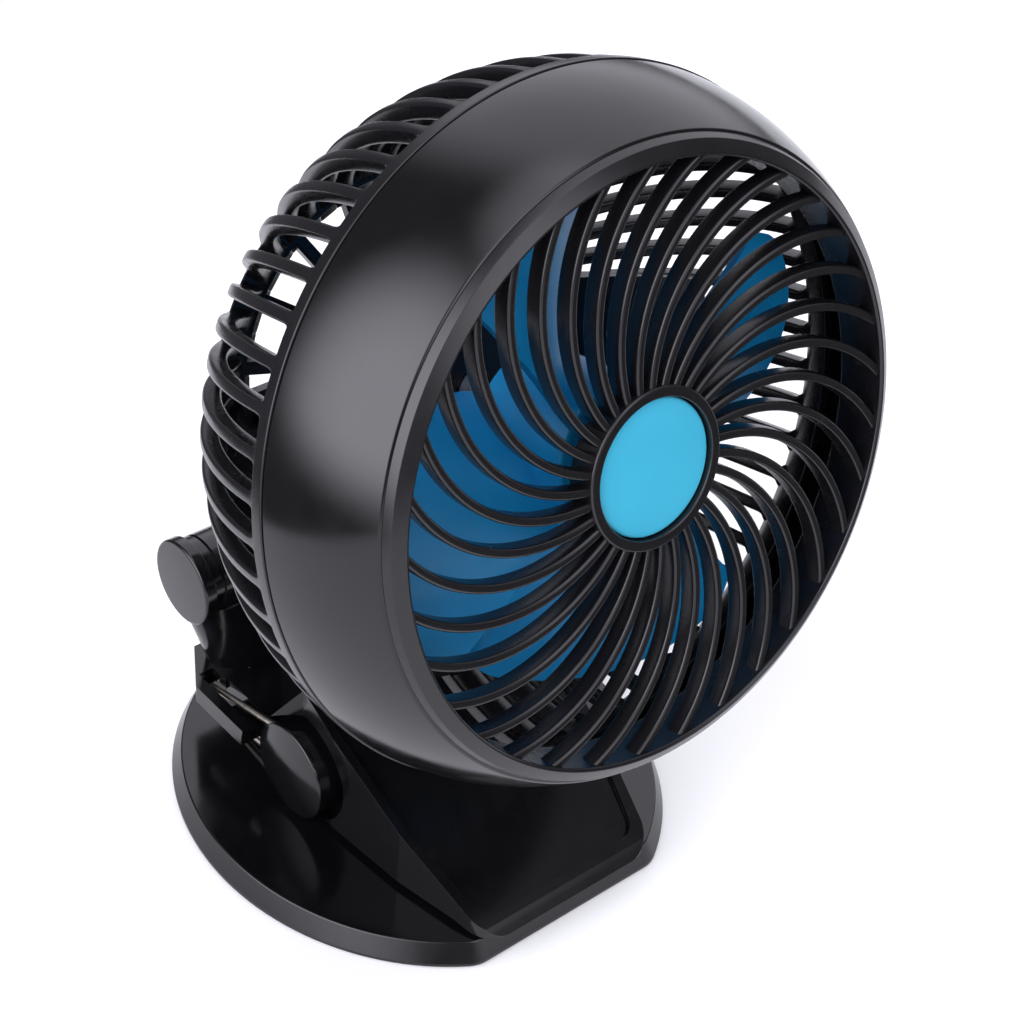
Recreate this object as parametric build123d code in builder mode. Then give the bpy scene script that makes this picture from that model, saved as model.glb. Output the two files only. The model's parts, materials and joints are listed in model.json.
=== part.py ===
from build123d import *
import os
from math import acos, atan, atan2, cos, degrees, pi, radians, sin, sqrt

os.makedirs("parts", exist_ok=True)

# Portable clip-on fan. Millimetres, +Z up, the air leaves towards -Y, +X is the right-hand
# side seen from the front. The origin is the centre of the foot plate's oval, on the ground.

# Foot plate
foot_half_width = 60.0
foot_half_length = 66.0
foot_front = 58.7  # centre to the flat front edge
foot_corner_radius = 8.0
foot_gap = 0.6  # the plate's underside above the ground
foot_thickness = 6.0
foot_band_height = 2.4  # sloped band round the top
foot_band_width = 5.0
foot_top = foot_gap + foot_thickness
pad_thickness = 1.6
pad_inset = 6.0

# Clip hinge
hinge_y = 3.1
hinge_z = 21.0
hinge_pin_radius = 2.0
running_gap = 0.06  # radial clearance of a turning fit
seat_gap = 0.3  # clearance round a seated piece
ear_radius = 6.2
ear_thickness = 4.0
cheek_inner = 27.2  # inside face of the jaw's cheek, from the middle
cheek_floor = 29.4  # floor of the round recess for the spring
cheek_radius = 12.6
recess_radius = 15.0
cap_radius = 12.0
cap_rim = 37.1  # inner face of the cap's rim, from the middle
cap_rim_thickness = 1.0
cap_dome = 0.9
cap_skirt = 0.8  # wall round the front half of the coil
skirt_inset = 0.2

# Clip spring
wire_radius = 0.9
coil_radius = 9.0
coil_pitch = 1.95
coil_full_turns = 2
spring_gap = 0.3
spring_foot_y = 38.0
hook_bend_radius = 1.8

# Upper jaw: tongue in front, handle behind
wall = 2.2
tongue_slope = 0.55
rim_front_y = -57.2
rim_front_z = 10.1
toe_y = -59.5
toe_z = 7.2
rim_rear_y = 4.3
tongue_front_half_width = 26.0
tongue_mid_half_width = 31.3
tongue_mid_y = -31.7
tongue_rear_half_width = 33.2
tongue_rear_y = -8.0
tongue_corner_radius = 8.0
rim_width = 2.2
rim_depth = 1.3
handle_top = 25.0
handle_thickness = 5.0
handle_skin = 3.0
handle_half_width = 41.6
handle_flare_y = 13.0
handle_corner_y = 37.7
handle_rear_half_width = 33.6
handle_rear_y = 50.5
tongue_back_y = 15.5  # where the tongue's back wall meets the handle's top
gusset_half_width = 21.5
gusset_rear_half_width = 19.0
slot_half_width = 2.4
slot_rear_y = 41.0
slot_through = 11.0
hook_slot = 5.0
hook_y = 39.4
hook_length = 6.0

# Rubber pads of the clip
grip_half_width = 20.0
grip_front_y = -49.0
grip_rear_y = -16.0
grip_bottom_z = 7.8
grip_thickness = 2.0
lower_grip_depth = 0.8
lower_grip_proud = 0.6

# Neck
neck_y = 43.3
neck_foot_half_width = 33.7
neck_foot_half_depth = 12.4
neck_top_half_width = 43.0
neck_top_half_depth = 10.4
neck_top_z = 50.0
neck_wall = 2.6
neck_crown = 7.5  # solid height under the saddle
neck_screw_x = 16.0
neck_screw_radius = 1.5
neck_screw_head_radius = 2.8
neck_boss_radius = 4.0
neck_boss_height = 12.0

# Tilt joint
tilt_y = 40.3
tilt_z = 57.5
tilt_pin_radius = 2.5
tilt_pin_half_length = 33.5
barrel_radius = 10.0
barrel_half_length = 40.2
tilt_ear_inner = 14.0
tilt_ear_outer = 20.0
side_gap = 0.4
tilt_cap_thickness = 2.6
tilt_cap_plug_radius = 6.0
tilt_cap_plug_length = 4.5
ring_groove = 0.7
ring_width = 2.6

# Head. Places along its axis are distances behind the centre disc's plane.
head_tilt = 12.9
tilt_below = 56.4
shell_front = 0.4
shell_front_radius = 68.6
shell_rear = 25.7
shell_rear_radius = 77.5
shell_bulge = 1.6  # how far the shell's middle stands outside a straight taper
shell_wall = 2.2
bezel_lip = 1.1
bezel_width = 4.6
bezel_radius = shell_front_radius - bezel_lip
bezel_step = -1.3
bezel_inner_radius = shell_front_radius - bezel_width
bezel_front = -3.0
bezel_skirt = 9.0
hub_ring_radius = 17.7
disc_radius = 15.0
disc_thickness = 2.0
hub_ring_front = -0.8
front_rib_count = 32
front_rib_width = 2.0
front_rib_depth = 4.4
hub_ring_depth = 6.0
front_rib_phase = 2.2
front_rib_mid_radius = 42.0
front_rib_mid_turn = -14.5
front_rib_turn = -34.5

# Rear grille
rear_band = 3.2
rear_lip = 5.0
rear_half_length = 75.0  # of the bowl's oval, behind the seam
rear_back = 85.0
rear_wall = 3.2
rear_rib_depth = 4.2
ring_proud = 0.3
rear_rib_count = 54
rear_rib_width = 3.0
rear_spoke_count = 18
rear_spoke_width = 3.0
rear_ring_width = 4.0
motor_radius = 14.0
motor_length = 23.0
motor_cup_wall = 2.2
motor_boss_radius = 4.0
motor_boss_length = 1.5
shaft_radius = 1.6
shaft_seat = 8.0
motor_screw_radius = 1.2
motor_screw_offset = 8.0

# Impeller
blade_count = 4
blade_phase = 14.0
blade_tip_radius = 59.0
blade_front = 13.0
blade_rear = 39.0
blade_thickness = 1.8
blade_corner_radius = 6.0
impeller_hub_radius = 15.5
impeller_hub_front = 11.5
impeller_hub_rear = 38.0
impeller_hub_wall = 2.0

# Battery and control box
box_half_width = 35.0
box_low = -56.0
box_high = -2.0
slope_run = 16.0  # the box's top slopes down over this length to the cover
slope_high = -12.0
box_wall = 2.0
box_corner_radius = 6.0
cover_thickness = 2.3
cover_low = -42.0
cover_edge = 4.2  # cover's edge to its screws
cover_screw_radius = 1.25
cover_screw_sink = 0.1
cover_screw_head = 1.0
cover_screw_length = 8.0
cell_radius = 9.2
cell_length = 65.0
cell_gap = 1.6
cell_floor_gap = 2.4  # clears the rounded corners of the box
board_gap = 2.0  # cells to board
board_to_rear = 8.0  # board's front to the box's rear face
tilt_from_rear = 7.7  # the box's rear face to the tilt axis
board_thickness = 1.6
board_low = -39.0
board_high = -14.0
board_half_width = 22.0
board_tab_width = 10.8
socket_width = 9.0
socket_height = 3.2
socket_depth = 7.3
socket_level = -28.0
button_level = -32.0
button_radius = 4.5
button_travel = 1.2
lens_level = -20.0
lens_radius = 1.6

# Places along the head's axis that follow from what the box holds
cell_spacing = 2 * cell_radius + cell_gap
post_front = rear_back + box_wall + 2 * (seat_gap + cell_radius)
board_behind = post_front + board_gap
box_rear = board_behind + board_to_rear
slope_start = box_rear - slope_run
tilt_behind = box_rear + tilt_from_rear

# Distance of the spring's upper leg from the middle: the coil ends half a turn past full turns
coil_middle_end = cheek_floor + spring_gap + wire_radius + coil_pitch * (coil_full_turns + 0.52)
slot_x = coil_middle_end + 0.6

# Frames of the tilted head
head_forward = Vector(0, -cos(radians(head_tilt)), sin(radians(head_tilt)))
head_up = Vector(0, sin(radians(head_tilt)), cos(radians(head_tilt)))
disc_centre = Vector(0, tilt_y, tilt_z) + head_forward * tilt_behind + head_up * tilt_below
head_axis = Axis(disc_centre, head_forward)
head_face = Plane(origin=disc_centre, x_dir=(1, 0, 0), z_dir=head_forward)
# Sketches on head_section hold (radius, distance in front of the disc's plane).
head_section = Plane(origin=disc_centre, x_dir=head_up, z_dir=(1, 0, 0))
side_plane = Plane.YZ


def behind(distance):
    return head_face.offset(-distance)


def polar(radius, angle):
    return (radius * cos(radians(angle)), radius * sin(radians(angle)))


def save(piece, label):
    piece.part.label = label
    export_step(piece.part, f"parts/{label}.step")


def rim_height(y):
    return rim_front_z + tongue_slope * (y - rim_front_y)


# Foot plate with the hinge's two ears
with BuildPart() as base_plate:
    with BuildSketch(Plane.XY.offset(foot_gap)) as foot_outline:
        Ellipse(foot_half_width, foot_half_length)
        with Locations((0, -foot_front - foot_half_length)):
            Rectangle(3 * foot_half_width, 2 * foot_half_length, mode=Mode.SUBTRACT)
        fillet(foot_outline.vertices().group_by(Axis.Y)[0], foot_corner_radius)
    extrude(amount=foot_thickness)
    foot_rim = base_plate.faces().sort_by(Axis.Z)[-1].outer_wire().edges()
    top_face = base_plate.faces().sort_by(Axis.Z)[-1]
    chamfer(foot_rim, foot_band_height, foot_band_width, reference=top_face)
    with BuildSketch(Plane.XY.offset(foot_gap)) as pad_recess:
        Ellipse(foot_half_width - pad_inset, foot_half_length - pad_inset)
        with Locations((0, -foot_front + pad_inset - foot_half_length)):
            Rectangle(3 * foot_half_width, 2 * foot_half_length, mode=Mode.SUBTRACT)
    extrude(amount=pad_thickness - foot_gap, mode=Mode.SUBTRACT)
    with BuildSketch(Plane.XY.offset(foot_top - lower_grip_depth)):
        with Locations((0, (grip_front_y + grip_rear_y) / 2)):
            RectangleRounded(2 * grip_half_width, grip_rear_y - grip_front_y, 4)
    extrude(amount=lower_grip_depth, mode=Mode.SUBTRACT)
    for side in (-1, 1):
        ear_middle = side * (cheek_inner - 2 * seat_gap - ear_thickness / 2)
        with BuildSketch(side_plane.offset(ear_middle)):
            with BuildLine():
                ear_lead = 6.0
                Polyline(
                    (hinge_y - ear_radius - ear_lead, foot_top - lower_grip_depth),
                    (hinge_y - ear_radius, hinge_z),
                    (hinge_y + ear_radius, hinge_z),
                    (hinge_y + ear_radius + ear_lead, foot_top - lower_grip_depth),
                    close=True,
                )
            make_face()
            with Locations((hinge_y, hinge_z)):
                Circle(ear_radius)
        extrude(amount=ear_thickness / 2, both=True)
    with BuildSketch(side_plane):
        with Locations((hinge_y, hinge_z)):
            Circle(hinge_pin_radius)
    extrude(amount=handle_half_width, both=True, mode=Mode.SUBTRACT)
save(base_plate, "base_plate")

with BuildPart() as base_pad:
    with BuildSketch(Plane.XY):
        Ellipse(foot_half_width - pad_inset - seat_gap, foot_half_length - pad_inset - seat_gap)
        with Locations((0, -foot_front + pad_inset + seat_gap - foot_half_length)):
            Rectangle(3 * foot_half_width, 2 * foot_half_length, mode=Mode.SUBTRACT)
    extrude(amount=pad_thickness)
save(base_pad, "base_pad")

with BuildPart() as lower_grip_pad:
    with BuildSketch(Plane.XY.offset(foot_top - lower_grip_depth)):
        with Locations((0, (grip_front_y + grip_rear_y) / 2)):
            RectangleRounded(
                2 * (grip_half_width - seat_gap),
                grip_rear_y - grip_front_y - 2 * seat_gap,
                4 - seat_gap,
            )
    extrude(amount=lower_grip_depth + lower_grip_proud)
save(lower_grip_pad, "lower_grip_pad")

pin_end = cap_rim + cap_rim_thickness - seat_gap
with BuildPart() as hinge_pin:
    with BuildSketch(side_plane):
        with Locations((hinge_y, hinge_z)):
            Circle(hinge_pin_radius)
    extrude(amount=pin_end, both=True)
save(hinge_pin, "hinge_pin")


# Domed caps on the hinge pin's ends, over the springs
def make_hinge_cap(side, label):
    with BuildPart() as hinge_cap:
        cap_section = Plane(origin=(0, hinge_y, hinge_z), x_dir=(0, 0, 1), z_dir=(0, side, 0))
        with BuildSketch(cap_section):
            # sketch x is the radius, sketch y the distance outwards from the middle
            with BuildLine():
                rim_top = cap_rim + cap_rim_thickness
                dome_radius = (cap_radius**2 + cap_dome**2) / (2 * cap_dome)
                dome_sink = dome_radius - sqrt(dome_radius**2 - (cap_radius / 2) ** 2)
                Polyline(
                    (0, rim_top + cap_dome),
                    (0, pin_end),
                    (hinge_pin_radius, pin_end),
                    (hinge_pin_radius, cheek_floor + seat_gap),
                    (coil_radius - wire_radius - 2.6, cheek_floor + seat_gap),
                    (coil_radius - wire_radius - 2.6, cap_rim),
                    (cap_radius, cap_rim),
                    (cap_radius, rim_top),
                )
                ThreePointArc(
                    (cap_radius, rim_top),
                    (cap_radius / 2, rim_top + cap_dome - dome_sink),
                    (0, rim_top + cap_dome),
                )
            make_face()
        revolve(axis=Axis((0, hinge_y, hinge_z), (1, 0, 0)))
        skirt_plane = Plane(origin=(0, hinge_y, hinge_z), x_dir=(0, -1, 0), z_dir=(side, 0, 0))
        with BuildSketch(skirt_plane.offset(cheek_floor + seat_gap)):
            Circle(cap_radius - skirt_inset)
            Circle(cap_radius - skirt_inset - cap_skirt, mode=Mode.SUBTRACT)
            with Locations((-cap_radius + 1.0, 0)):
                Rectangle(2 * cap_radius, 2 * cap_radius, mode=Mode.SUBTRACT)
        extrude(amount=cap_rim + cap_rim_thickness / 2 - cheek_floor - seat_gap)
    save(hinge_cap, label)


make_hinge_cap(-1, "hinge_cap_left")
make_hinge_cap(1, "hinge_cap_right")


def jaw_outline(inset):
    """Half of the jaw's outline seen from above, mirrored to both sides."""
    with BuildLine() as outline:
        Polyline(
            (0, toe_y + inset),
            (tongue_front_half_width - inset, toe_y + inset),
            (tongue_mid_half_width - inset, tongue_mid_y),
            (tongue_rear_half_width - inset, tongue_rear_y),
            (tongue_rear_half_width - inset, rim_rear_y),
            (handle_half_width - inset, handle_flare_y),
            (handle_half_width - inset, handle_corner_y),
            (handle_rear_half_width - inset, handle_rear_y - inset),
            (0, handle_rear_y - inset),
        )
        mirror(about=Plane.YZ)
    return outline.line


def neck_form(gap):
    """The neck's outside, from the handle's top up to the barrel, grown by a gap."""
    with BuildPart() as form:
        with BuildSketch(Plane.XY.offset(handle_top)):
            with Locations((0, neck_y)):
                Ellipse(neck_foot_half_width + gap, neck_foot_half_depth + gap)
        with BuildSketch(Plane.XY.offset(neck_top_z)):
            with Locations((0, tilt_y)):
                Ellipse(neck_top_half_width + gap, neck_top_half_depth + gap)
        loft()
    return form.part


# Inside of the upper jaw, open towards the foot plate
face_factor = sqrt(1 + tongue_slope**2)
skin_drop = (rim_depth + wall) * face_factor
cheek_front_y = hinge_y - recess_radius - 1.5
handle_cavity_y = hinge_y + recess_radius + wall
with BuildPart() as jaw_cavity:
    with BuildSketch(side_plane):
        with BuildLine():
            front_y = toe_y + wall + 3.0
            Polyline(
                (front_y, 0),
                (front_y, rim_height(front_y) - skin_drop),
                (cheek_front_y, rim_height(cheek_front_y) - skin_drop),
                (cheek_front_y, 0),
                close=True,
            )
        make_face()
    extrude(amount=handle_half_width, both=True)
    with BuildSketch(Plane.XY) as cavity_plan:
        with BuildLine():
            add(jaw_outline(wall))
        make_face()
        fillet(cavity_plan.vertices().group_by(Axis.Y)[0], tongue_corner_radius - wall)
    extrude(amount=2 * rim_height(rim_rear_y), mode=Mode.INTERSECT)
    with BuildSketch(side_plane):
        with BuildLine():
            back_y = rim_rear_y - wall
            Polyline(
                (cheek_front_y - wall, 0),
                (cheek_front_y - wall, rim_height(cheek_front_y - wall) - skin_drop),
                (back_y, rim_height(back_y) - skin_drop),
                (tongue_back_y - wall, handle_top - handle_skin),
                (handle_cavity_y, handle_top - handle_skin),
                (handle_cavity_y, 0),
                close=True,
            )
        make_face()
    extrude(amount=cheek_inner, both=True)
    with BuildSketch(Plane.XY):
        with BuildLine():
            rail_inner = slot_x - slot_half_width - 1.4
            Polyline(
                (-cheek_inner, tongue_back_y),
                (cheek_inner, tongue_back_y),
                (rail_inner, handle_cavity_y),
                (rail_inner, handle_corner_y),
                (handle_rear_half_width - 3 * wall, handle_rear_y - wall),
                (-handle_rear_half_width + 3 * wall, handle_rear_y - wall),
                (-rail_inner, handle_corner_y),
                (-rail_inner, handle_cavity_y),
                close=True,
            )
        make_face()
    extrude(amount=handle_top - handle_skin)

# Upper jaw: side profile stretched across, then trimmed to the outline from above
handle_bottom = handle_top - handle_thickness
cheek_rear_y = hinge_y + sqrt(cheek_radius**2 - (hinge_z - handle_bottom) ** 2)
gusset_drop = 2.5
with BuildPart() as jaw_shell:
    with BuildSketch(side_plane):
        with BuildLine():
            Polyline(
                (hinge_y, hinge_z - cheek_radius),
                (grip_front_y, hinge_z - cheek_radius),
                (toe_y + wall, toe_z),
                (toe_y, toe_z),
                (rim_front_y - 1.0, rim_front_z - 1.2),
                (rim_front_y, rim_front_z),
                (rim_rear_y, rim_height(rim_rear_y)),
                (tongue_back_y, handle_top),
                (handle_rear_y, handle_top),
                (handle_rear_y, handle_bottom),
                (cheek_rear_y, handle_bottom),
            )
            RadiusArc((cheek_rear_y, handle_bottom), (hinge_y, hinge_z - cheek_radius), cheek_radius)
        make_face()
    extrude(amount=handle_half_width, both=True)
    with BuildSketch(Plane.XY) as jaw_plan:
        with BuildLine():
            add(jaw_outline(0))
        make_face()
        fillet(jaw_plan.vertices().group_by(Axis.Y)[0], tongue_corner_radius)
    extrude(amount=2 * rim_height(rim_rear_y), mode=Mode.INTERSECT)
    # raised middle that meets the neck's front
    with BuildSketch(Plane.XY.offset(handle_top - handle_skin)):
        with BuildLine():
            Polyline(
                (-gusset_half_width, rim_rear_y - wall),
                (gusset_half_width, rim_rear_y - wall),
                (gusset_rear_half_width, neck_y),
                (-gusset_rear_half_width, neck_y),
                close=True,
            )
        make_face()
    extrude(amount=rim_height(rim_rear_y) - gusset_drop - handle_top + handle_skin)
    # recess in the tongue's face, leaving a rim
    rim_tilt = Plane(
        origin=(0, rim_front_y, rim_front_z),
        x_dir=(1, 0, 0),
        z_dir=(0, -tongue_slope, 1),
    )
    face_length = (rim_rear_y - rim_front_y) * face_factor
    with BuildSketch(rim_tilt) as face_recess:
        with BuildLine():
            Polyline(
                (0, rim_width),
                (tongue_front_half_width - rim_width, rim_width),
                (tongue_mid_half_width - rim_width, (tongue_mid_y - rim_front_y) * face_factor),
                (tongue_rear_half_width - rim_width, (tongue_rear_y - rim_front_y) * face_factor),
                (tongue_rear_half_width - rim_width, face_length - rim_width),
                (0, face_length - rim_width),
            )
            mirror(about=Plane.YZ)
        make_face()
        fillet(face_recess.vertices().group_by(Axis.Y)[0], tongue_corner_radius - rim_width)
    extrude(amount=-rim_depth, mode=Mode.SUBTRACT)
    add(jaw_cavity.part, mode=Mode.SUBTRACT)
    # stiffening ribs that carry the grip pad
    for rib_x in (-grip_half_width * 0.65, grip_half_width * 0.65):
        with BuildSketch(side_plane.offset(rib_x)):
            with BuildLine():
                rib_foot = grip_bottom_z + grip_thickness
                rib_front_y = grip_front_y + 3.0
                Polyline(
                    (rib_front_y, rib_foot),
                    (rib_front_y, rim_height(rib_front_y) - skin_drop + 0.5),
                    (cheek_front_y, rim_height(cheek_front_y) - skin_drop + 0.5),
                    (cheek_front_y, rib_foot),
                    close=True,
                )
            make_face()
        extrude(amount=0.8, both=True)
    add(neck_form(seat_gap), mode=Mode.SUBTRACT)
    for side in (-1, 1):
        with BuildSketch(side_plane.offset(side * cheek_floor)):
            with Locations((hinge_y, hinge_z)):
                Circle(recess_radius)
        extrude(amount=side * handle_half_width, mode=Mode.SUBTRACT)
        # slot for the spring's leg, open below near its end
        with BuildSketch(Plane.XY.offset(handle_top)):
            with Locations((side * slot_x, (hinge_y + slot_rear_y) / 2)):
                Rectangle(2 * slot_half_width, slot_rear_y - hinge_y)
        extrude(amount=-handle_thickness + 1.1, mode=Mode.SUBTRACT)
        with BuildSketch(Plane.XY.offset(handle_top)):
            with Locations((side * slot_x, slot_rear_y - slot_through / 2)):
                Rectangle(2 * slot_half_width, slot_through)
            with Locations((side * (slot_x - hook_length), hook_y - 1.2)):
                Rectangle(2 * hook_length, hook_slot)
        extrude(amount=-handle_thickness, mode=Mode.SUBTRACT)
    # skin over the hooked end
    for side in (-1, 1):
        with BuildSketch(Plane.XY.offset(handle_top - handle_skin)):
            with Locations((side * (slot_x - slot_half_width - hook_length / 2), hook_y - 1.2)):
                Rectangle(hook_length + 1.2, hook_slot + 0.6)
        extrude(amount=handle_skin)
    with BuildSketch(side_plane):
        with Locations((hinge_y, hinge_z)):
            Circle(hinge_pin_radius + running_gap)
    extrude(amount=handle_half_width, both=True, mode=Mode.SUBTRACT)
    # screw holes under the neck
    with BuildSketch(Plane.XY.offset(handle_top)):
        with Locations((-neck_screw_x, neck_y), (neck_screw_x, neck_y)):
            Circle(neck_screw_radius + seat_gap)
    extrude(amount=-handle_thickness, mode=Mode.SUBTRACT)
save(jaw_shell, "jaw_shell")

with BuildPart() as jaw_grip_pad:
    with BuildSketch(Plane.XY.offset(grip_bottom_z)):
        with Locations((0, (grip_front_y + grip_rear_y) / 2)):
            RectangleRounded(2 * grip_half_width, grip_rear_y - grip_front_y, 4)
    extrude(amount=grip_thickness)
    with BuildSketch(Plane.XY.offset(grip_bottom_z)):
        with Locations((0, (grip_front_y + grip_rear_y) / 2)):
            with GridLocations(0, 5.0, 1, 6):
                Rectangle(2 * grip_half_width, 1.6)
    extrude(amount=0.6, mode=Mode.SUBTRACT)
save(jaw_grip_pad, "jaw_grip_pad")


# Torsion springs: a lower leg on the foot plate, the coil, and a leg hooked under the handle
def make_spring(side, label):
    foot_z = foot_top + wire_radius + spring_gap
    hook_z = handle_top - handle_skin - wire_radius - spring_gap
    foot_reach = sqrt((spring_foot_y - hinge_y) ** 2 + (foot_z - hinge_z) ** 2)
    hook_reach = sqrt((hook_y - hinge_y) ** 2 + (hook_z - hinge_z) ** 2)
    foot_angle = degrees(atan2(foot_z - hinge_z, spring_foot_y - hinge_y) - acos(coil_radius / foot_reach))
    hook_angle = degrees(atan2(hook_z - hinge_z, hook_y - hinge_y) + acos(coil_radius / hook_reach))
    sweep_angle = (foot_angle - hook_angle) % 360 + 360 * coil_full_turns
    lead = atan(coil_pitch / (2 * pi * coil_radius))
    foot_leg = sqrt(foot_reach**2 - coil_radius**2)
    hook_leg = sqrt(hook_reach**2 - coil_radius**2) - hook_bend_radius
    start_x = cheek_floor + spring_gap + wire_radius
    coil_plane = Plane(
        origin=(side * start_x, hinge_y, hinge_z),
        x_dir=(0, cos(radians(foot_angle)), sin(radians(foot_angle))),
        z_dir=(side, 0, 0),
    )
    turn = -side * radians(sweep_angle)
    hand = -side
    coil_end = Vector(coil_radius * cos(turn), coil_radius * sin(turn), coil_pitch * sweep_angle / 360)
    along = Vector(-hand * sin(turn) * cos(lead), hand * cos(turn) * cos(lead), sin(lead))
    inward = (Vector(0, 0, -1) + along * sin(lead)).normalized()
    leg_end = coil_end + along * hook_leg
    bend_centre = leg_end + inward * hook_bend_radius
    bend_middle = bend_centre + (along - inward) * (hook_bend_radius / sqrt(2))
    bend_end = bend_centre + along * hook_bend_radius
    with BuildLine() as wire:
        Line((coil_radius, -hand * foot_leg * cos(lead), -foot_leg * sin(lead)), (coil_radius, 0, 0))
        Helix(coil_pitch, coil_end.Z, coil_radius, lefthand=side > 0)
        Line(coil_end, leg_end)
        ThreePointArc(leg_end, bend_middle, bend_end)
        Line(bend_end, bend_end + inward * (hook_length - hook_bend_radius))
    placed_wire = coil_plane * wire.wires()[0]
    with BuildPart() as spring:
        with BuildSketch(Plane(origin=placed_wire @ 0, z_dir=placed_wire % 0)):
            Circle(wire_radius)
        sweep(path=placed_wire)
    save(spring, label)


make_spring(-1, "spring_left")
make_spring(1, "spring_right")


# Neck: an oval column, hollow from below, with a saddle and two ears for the barrel
with BuildPart() as neck_hollow:
    with BuildSketch(Plane.XY.offset(handle_top)):
        with Locations((0, neck_y)):
            Ellipse(neck_foot_half_width - neck_wall, neck_foot_half_depth - neck_wall)
    with BuildSketch(Plane.XY.offset(neck_top_z - neck_crown)):
        with Locations((0, tilt_y)):
            Ellipse(neck_top_half_width - 3 * neck_wall, neck_top_half_depth - neck_wall)
    loft()

with BuildPart() as neck:
    add(neck_form(0))
    add(neck_hollow.part, mode=Mode.SUBTRACT)
    with BuildSketch(Plane.XY.offset(handle_top)):
        with Locations((-neck_screw_x, neck_y), (neck_screw_x, neck_y)):
            Circle(neck_boss_radius)
    extrude(amount=neck_top_z - neck_crown - handle_top + 1.0)
    # flat rear
    with BuildSketch(Plane.XY.offset(handle_top)):
        with Locations((0, handle_rear_y + neck_foot_half_depth)):
            Rectangle(3 * neck_top_half_width, 2 * neck_foot_half_depth)
    extrude(amount=neck_top_z, mode=Mode.SUBTRACT)
    # back wall behind the hollow
    with BuildSketch(Plane.XY.offset(handle_top)):
        with Locations((0, handle_rear_y - neck_wall / 2)):
            Rectangle(2 * neck_foot_half_width * 0.72, neck_wall)
    extrude(amount=neck_top_z - neck_crown - handle_top + 1.0)
    with BuildSketch(side_plane):
        with Locations((tilt_y, tilt_z)):
            Circle(barrel_radius + side_gap)
    extrude(amount=2 * neck_top_half_width, both=True, mode=Mode.SUBTRACT)
    for side in (-1, 1):
        with BuildSketch(side_plane.offset(side * tilt_ear_inner)):
            with Locations((tilt_y, tilt_z)):
                Circle(barrel_radius)
            with Locations((tilt_y, tilt_z - barrel_radius * 0.6)):
                Rectangle(1.6 * barrel_radius, 1.2 * barrel_radius)
        extrude(amount=side * (tilt_ear_outer - tilt_ear_inner))
    with BuildSketch(side_plane):
        with Locations((tilt_y, tilt_z)):
            Circle(tilt_pin_radius)
    extrude(amount=2 * neck_top_half_width, both=True, mode=Mode.SUBTRACT)
    with BuildSketch(Plane.XY.offset(handle_top)):
        with Locations((-neck_screw_x, neck_y), (neck_screw_x, neck_y)):
            Circle(neck_screw_radius)
    extrude(amount=neck_boss_height, mode=Mode.SUBTRACT)
save(neck, "neck")

with BuildPart() as neck_screws:
    with BuildSketch(Plane.XY.offset(handle_top - handle_skin)):
        with Locations((-neck_screw_x, neck_y), (neck_screw_x, neck_y)):
            Circle(neck_screw_radius)
    extrude(amount=handle_skin + neck_boss_height - 2.0)
    with BuildSketch(Plane.XY.offset(handle_top - handle_skin)):
        with Locations((-neck_screw_x, neck_y), (neck_screw_x, neck_y)):
            Circle(neck_screw_head_radius)
    extrude(amount=-1.6)
save(neck_screws, "neck_screws")

with BuildPart() as tilt_pin:
    with BuildSketch(side_plane):
        with Locations((tilt_y, tilt_z)):
            Circle(tilt_pin_radius)
    extrude(amount=tilt_pin_half_length, both=True)
save(tilt_pin, "tilt_pin")

# Head shell, one revolved skin with a bowed side
shell_middle = (shell_front + shell_rear) / 2
shell_middle_radius = (shell_front_radius + shell_rear_radius) / 2 + shell_bulge


def shell_arc(inset):
    """The shell's bowed side from front to rear, set inwards."""
    with BuildLine(Plane.XY) as arc:
        ThreePointArc(
            (shell_front_radius - inset, -shell_front),
            (shell_middle_radius - inset, -shell_middle),
            (shell_rear_radius - inset, -shell_rear),
        )
    return arc.line


def shell_band(outer_inset, inner_inset):
    """Section of a skin between two insets of the shell's side."""
    with BuildLine(Plane.XY) as outline:
        add(shell_arc(outer_inset))
        add(shell_arc(inner_inset))
        Line((shell_front_radius - outer_inset, -shell_front), (shell_front_radius - inner_inset, -shell_front))
        Line((shell_rear_radius - outer_inset, -shell_rear), (shell_rear_radius - inner_inset, -shell_rear))
    return outline.line


with BuildPart() as front_shell:
    with BuildSketch(head_section):
        with BuildLine():
            add(shell_band(0, shell_wall))
        make_face()
    revolve(axis=head_axis)
save(front_shell, "front_shell")

# Front grille: bezel, spiral ribs and the ring round the centre disc
bezel_outer_radius = shell_front_radius - shell_wall - seat_gap
with BuildSketch() as front_rib:
    with BuildLine():
        ThreePointArc(
            polar(hub_ring_radius - 0.8, front_rib_phase),
            polar(front_rib_mid_radius, front_rib_phase + front_rib_mid_turn),
            polar(bezel_inner_radius + 0.8, front_rib_phase + front_rib_turn),
        )
    trace(line_width=front_rib_width)
with BuildPart() as front_grille:
    with BuildSketch(head_section):
        with BuildLine():
            Polyline(
                (shell_front_radius, -shell_front),
                (bezel_radius, -bezel_step),
                (bezel_inner_radius + 0.6, -bezel_front),
                (bezel_inner_radius, -bezel_front - 0.5),
                (bezel_inner_radius, -bezel_skirt),
                (bezel_outer_radius, -bezel_skirt),
                (bezel_outer_radius, -shell_front),
                close=True,
            )
        make_face()
        with BuildLine():
            Polyline(
                (0, -disc_thickness),
                (disc_radius + seat_gap, -disc_thickness),
                (disc_radius + seat_gap, -hub_ring_front),
                (hub_ring_radius, -hub_ring_front),
                (hub_ring_radius, -hub_ring_depth),
                (hub_ring_radius - 2.0, -hub_ring_depth),
                (hub_ring_radius - 2.0, -disc_thickness - 2.0),
                (0, -disc_thickness - 2.0),
                close=True,
            )
        make_face()
    revolve(axis=head_axis)
    with BuildSketch(head_face):
        with PolarLocations(0, front_rib_count):
            add(front_rib.sketch)
    extrude(amount=-front_rib_depth)
save(front_grille, "front_grille")

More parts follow.
